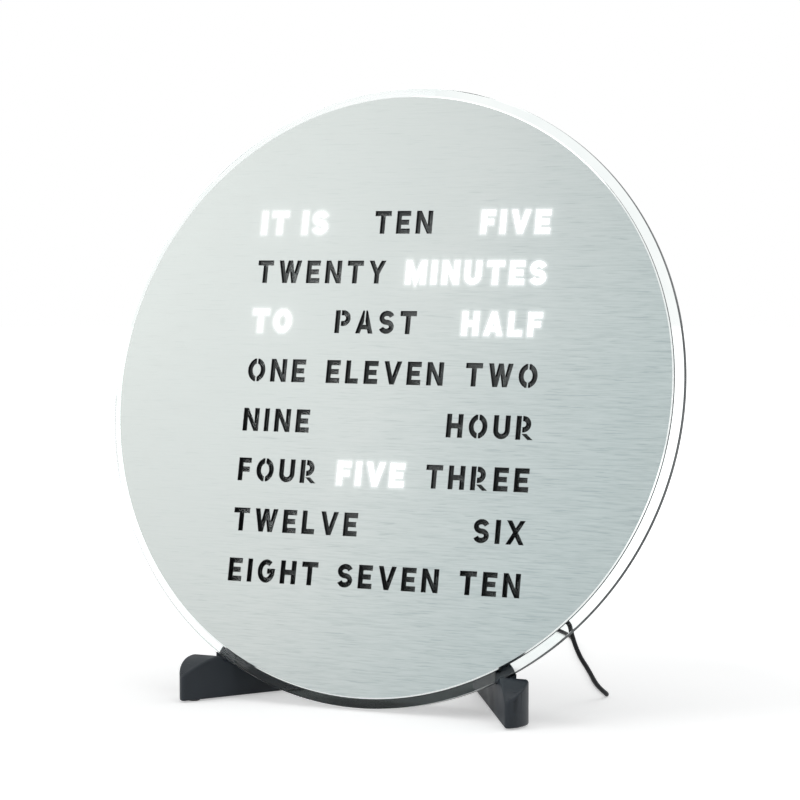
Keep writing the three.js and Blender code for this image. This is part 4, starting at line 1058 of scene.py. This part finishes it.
USB_SIZE, USB_BOOT = (15, 24, 8), 9
RIDGES, RIDGE_PITCH, RIDGE_SIZE, RIDGE_OUT = 4, 3.2, (8.5, 1.0, 0.19), 3.9
grip_x = usb_face[0]
grip_back = usb_face[1] - SEAT_GAP - USB_BOOT
grip_bm = bmesh.new()
lathe(grip_bm, [(0, 0)] + ribbed(USB_BOOT, 2.58, 1.6, 4, 0.3), 36,
      Vector((grip_x, grip_back, USB_LEVEL)) * MM, Vector((0, 1, 0)))
body_bm = bmesh.new()
block(body_bm, (grip_x, grip_back - USB_SIZE[1] / 2, USB_LEVEL), USB_SIZE)
bmesh.ops.bevel(
    body_bm, geom=body_bm.edges[:], offset=1.6 * MM, segments=5, profile=0.5, affect="EDGES")
grip_bm.from_mesh(mesh_of(body_bm, "grip_body"))
for k in range(RIDGES):
    for side in (-1, 1):
        y = grip_back - 7 - k * RIDGE_PITCH
        block(grip_bm, (grip_x, y, USB_LEVEL + side * RIDGE_OUT), RIDGE_SIZE)
grip = make("usb_body", grip_bm, 40, [plug_plastic], "cord_black", ["usb_grip"])

# Tongue and contacts inside the plug's shell
TONGUE_SIZE, TONGUE_BACK, TONGUE_LEVEL = (10.4, 10.8, 1.5), 6.3, 3.2
PIN_SIZE, PIN_BACK, PIN_X = (1.1, 8.0, 0.16), 5.6, (-3.5, -1.0, 1.0, 3.5)
tongue_bm = bmesh.new()
shell_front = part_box("usb_shell")[0].y / MM
block(tongue_bm, (grip_x, shell_front + TONGUE_BACK, TONGUE_LEVEL), TONGUE_SIZE)
bmesh.ops.bevel(tongue_bm, geom=tongue_bm.edges[:], offset=0.2 * MM, segments=2, affect="EDGES")
for x in PIN_X:
    pin = block(tongue_bm, (grip_x + x, shell_front + PIN_BACK, USB_LEVEL), PIN_SIZE)
    for pin_face in {f for v in pin for f in v.link_faces}:
        pin_face.material_index = 1
tongue = make("usb_tongue", tongue_bm, 40, [tongue_plastic, contact_metal], "white_board")

soften("cord_tie", 0.3)

# Feet, rebuilt from the source's outlines with finer curves and rounded edges
SPLAY, SLOT_PLACE = radians(31), radians(27.36)
TOE_LENGTH, TOE_WIDTH, TOE_TOP, TOE_REACH = 19.6, 13.8, 21.0, 23.35
CROWN_RADIUS, CROWN_LEAD, NOTCH = 40, 8.4, 2.7
BAR_WIDTH, BAR_LENGTH = 8.6, 112.0
BACKREST, BACKREST_LENGTH, BACKREST_ROUND = 27.5, 8, 7
HEEL, HEEL_ROUND = 8, 3
PAD_HOLE, PAD_DEPTH, PAD_PLACES = 3.3, 1.5, ((5, 8), (BAR_WIDTH / 2, BAR_LENGTH - 7))
FALL_REACH, FALL_LEVEL = 36, 10.7
BEYOND, PAST_FOOT, PAST_BAR, CURVE_STEPS = 2, 42, (-5, 20), 40
slot_middle = ((DISC_FRONT + DISC_BACK) / 2 + (TOE_TOP - CENTRE) * sin(LEAN)) / cos(LEAN)
toe_front = TOE_REACH - slot_middle
toe_back = TOE_LENGTH * cos(SPLAY) - toe_front
slot_behind = (slot_middle - toe_back) / cos(SPLAY)
bar_meets = TOE_LENGTH - BAR_WIDTH * tan(SPLAY)
split_inner, split_outer = TOE_LENGTH + slot_behind, bar_meets + slot_behind
toe_out = DISC_RADIUS * sin(SLOT_PLACE) + split_inner * sin(SPLAY)


def on_foot(x, y, z):
    """A place in the right foot's frame, in row millimetres."""
    return (
        toe_out + x * cos(SPLAY) - y * sin(SPLAY),
        SHIFT - toe_front + x * sin(SPLAY) + y * cos(SPLAY), z)


def prism(points, low, high, place):
    """An outline drawn out between two levels; place turns it into row millimetres."""
    bm = bmesh.new()
    rings = [[bm.verts.new(Vector(place(a, b, level)) * MM) for a, b in points]
             for level in (low, high)]
    bm.faces.new(rings[0])
    bm.faces.new(rings[1])
    walls(bm, rings)
    bmesh.ops.recalc_face_normals(bm, faces=bm.faces)
    return link("block", mesh_of(bm, "block"))


def beside(y, z, x):
    """A place of an outline seen from the side, in row millimetres."""
    return (toe_out + x, y + SHIFT, z)


corner = (TOE_WIDTH * cos(SPLAY), TOE_LENGTH - TOE_WIDTH * sin(SPLAY))
nose = bezier([
    (0, 0), (corner[0] * 0.27, -TOE_LENGTH * 0.19), (corner[0] * 1.26, TOE_LENGTH * 0.375), corner,
], CURVE_STEPS)
# The finer nose stays behind the front of the source's foot
foot_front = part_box("right_foot")[0].y / MM - SHIFT + toe_front
nose = [(x, max(y, (foot_front - x * sin(SPLAY)) / cos(SPLAY))) for x, y in nose]
crown = []
crown_middle = TOE_TOP - sqrt(CROWN_RADIUS ** 2 - CROWN_LEAD ** 2)
for y in np.linspace(toe_back, -toe_front - BEYOND, CURVE_STEPS + 1):
    rise = sqrt(CROWN_RADIUS ** 2 - (CROWN_LEAD + toe_back - y) ** 2)
    crown.append((y, crown_middle + rise))
toe = prism(nose + [
    (BAR_WIDTH, bar_meets), (BAR_WIDTH, split_outer + SEAT_GAP), (0, split_inner + SEAT_GAP),
], 0, BACKREST, on_foot)
toe_side = [
    (-toe_front - BEYOND, FLOOR_GAP), (TOE_LENGTH, FLOOR_GAP), (TOE_LENGTH, TOE_TOP)] + crown
toe = combine(toe, prism(toe_side, -PAST_FOOT, PAST_FOOT, beside), "INTERSECT")
notch = [
    (toe_back, TOE_TOP), (toe_back + NOTCH, TOE_TOP - NOTCH),
    (slot_middle + TOE_LENGTH, TOE_TOP - NOTCH), (slot_middle + TOE_LENGTH, BACKREST),
    (toe_back, BACKREST)]
toe = combine(toe, prism(notch, -PAST_FOOT, PAST_FOOT, beside), "DIFFERENCE")
fall = bezier([
    (split_inner + BACKREST_LENGTH, BACKREST), (split_inner + FALL_REACH, BACKREST),
    (BAR_LENGTH / 2, FALL_LEVEL), (BAR_LENGTH, HEEL)], 56)
heel_y = BAR_LENGTH - HEEL_ROUND
bar = prism([(0, split_inner), (BAR_WIDTH, split_outer), (BAR_WIDTH, heel_y)]
            + oval(BAR_WIDTH - HEEL_ROUND, heel_y, HEEL_ROUND, HEEL_ROUND, 10, 80, 5)
            + oval(HEEL_ROUND, heel_y, HEEL_ROUND, HEEL_ROUND, 100, 170, 5)
            + [(0, heel_y)], 0, BACKREST + BEYOND, on_foot)
bar_side = [(0, FLOOR_GAP), (BAR_LENGTH + BEYOND, FLOOR_GAP), (BAR_LENGTH + BEYOND, HEEL)]
bar_side += fall[::-1] + [(0, BACKREST)]
bar = combine(bar, prism(bar_side, *PAST_BAR, lambda y, z, x: on_foot(x, y, z)), "INTERSECT")
bar_end = [(-3, 0), (BAR_WIDTH + 0.001, 0)] + oval(
    BAR_WIDTH - BACKREST_ROUND, BACKREST - BACKREST_ROUND, BACKREST_ROUND, BACKREST_ROUND,
    0, 90, 12) + [(-3, BACKREST)]
bar = combine(
    bar, prism(bar_end, 0, BAR_LENGTH + BEYOND, lambda x, z, y: on_foot(x, y, z)), "INTERSECT")
foot = combine(toe, bar, "UNION")
cutter_bm = bmesh.new()
slot_front, slot_back = DISC_FRONT - SEAT_GAP, DISC_BACK + SEAT_GAP
slot_radius = DISC_RADIUS + SEAT_GAP
lathe(cutter_bm, [
    (0, slot_front), (slot_radius, slot_front), (slot_radius, slot_back), (0, slot_back)], 384)
foot = combine(foot, from_bmesh("disc_cutter", cutter_bm), "DIFFERENCE")
for x, y in PAD_PLACES:
    hole = prism(circle(PAD_HOLE, 32, x, y), -1, PAD_DEPTH, on_foot)
    foot = combine(foot, hole, "DIFFERENCE")
for name, side in (("right", 1), ("left", -1)):
    foot_bm = bmesh.new()
    foot_bm.from_mesh(foot.data)
    bmesh.ops.remove_doubles(foot_bm, verts=foot_bm.verts, dist=0.01 * MM)
    bmesh.ops.dissolve_limit(
        foot_bm, angle_limit=radians(0.5), verts=foot_bm.verts, edges=foot_bm.edges)
    for v in foot_bm.verts:
        v.co.x *= side
    piece = from_bmesh(f"{name}_stand", foot_bm, sharp=180)
    bevel = piece.modifiers.new("bevel", "BEVEL")
    bevel.width, bevel.segments, bevel.limit_method = 0.8 * MM, 5, "ANGLE"
    bevel.angle_limit, bevel.use_clamp_overlap = radians(32), False
    piece.modifiers.remove(piece.modifiers["normals"])
    for polygon in piece.data.polygons:
        polygon.use_smooth = False
    dress(piece, [foot_plastic], "charcoal_feet", [f"{name}_foot"], f"{name}_foot")
bpy.data.objects.remove(foot)
for name in PADS:
    soften(name, 0.2)


# Floor, world and lamps
def stage_material(middle=0.035):
    """A white floor, lifted towards white far from the clock, with a painted shadow under it that
    shows only through the disc.
    """
    s = Shader("floor_white")
    s.tree.nodes.remove(s.main)
    mottle = s.noise(6, 2, 0.5)
    rays = s.add("ShaderNodeLightPath").outputs
    passed = rays["Is Transmission Ray"]
    parts = s.parts(s.place)
    lift = s.between(s.length(parts["X"], parts["Y"]), 0.44, 1.0, 0.2, 0.6)
    away = s.length(s.math("ADD", parts["X"], middle), parts["Y"])
    open_floor = s.between(away, 0.0, 1.0, 0.105, 0.125)
    through = s.math("MULTIPLY", passed, open_floor)
    # Painted shadow: seen through the disc, the floor near the clock takes a dark grey colour.
    shaded = s.math("MULTIPLY", passed, s.math("SUBTRACT", 1.0, open_floor))
    diffuse = s.add("ShaderNodeBsdfDiffuse", {"Color": s.mixed(
        shaded, s.ramp(mottle, ((236, 237, 237), (242, 243, 243))), linear((112, 118, 118)))})
    mirrored = s.math("SUBTRACT", rays["Is Glossy Ray"], passed, clamp=True)
    seen = s.math("MAXIMUM", through, s.math("MAXIMUM", rays["Is Camera Ray"], mirrored))
    glow_node = s.add("ShaderNodeEmission", {"Strength": s.math("MULTIPLY", seen, lift)})
    both = s.add("ShaderNodeAddShader", {0: diffuse.outputs[0], 1: glow_node.outputs[0]})
    s.put(s.out.inputs["Surface"], both.outputs[0])
    return s.material


floor_bm = bmesh.new()
bmesh.ops.create_circle(floor_bm, cap_ends=True, segments=96, radius=6)
ground = from_bmesh("ground", floor_bm)
ground.data.materials.append(stage_material())

world = bpy.data.worlds.new("studio")
bpy.context.scene.world = world
world.use_nodes = True
sky = Nodes(world.node_tree)
background = sky.tree.nodes["Background"]
background.inputs["Color"].default_value = WHITE
AMBIENT = 0.36
rays = sky.add("ShaderNodeLightPath").outputs
shown = sky.math("MAXIMUM", rays["Is Camera Ray"], sky.math(
    "MAXIMUM", rays["Is Glossy Ray"], rays["Is Transmission Ray"]))
strength = sky.math("ADD", sky.math("MULTIPLY", shown, 1 - AMBIENT), AMBIENT)
sky.put(background.inputs["Strength"], strength)


def lamp(name, place, size, power):
    """A square lamp that shines on the middle of the clock."""
    data = bpy.data.lights.new(name, "AREA")
    data.shape, data.size, data.energy = "SQUARE", size, power
    thing = link(name, data)
    thing.location = place
    thing.rotation_euler = (LAMP_AIM - Vector(place)).to_track_quat("-Z", "Y").to_euler()


LAMP_AIM = Vector((0, 0, 0.13))
lamp("key", (-1.5, -1.5, 1.1), 1.3, 13.5)
lamp("fill", (1.6, -1.1, 0.9), 1.2, 2.4)
lamp("top", (0.0, 0.3, 2.0), 1.6, 10.5)
lamp("behind", (0.9, 1.6, 1.1), 1.2, 5)

bpy.context.scene.view_settings.view_transform = "Standard"
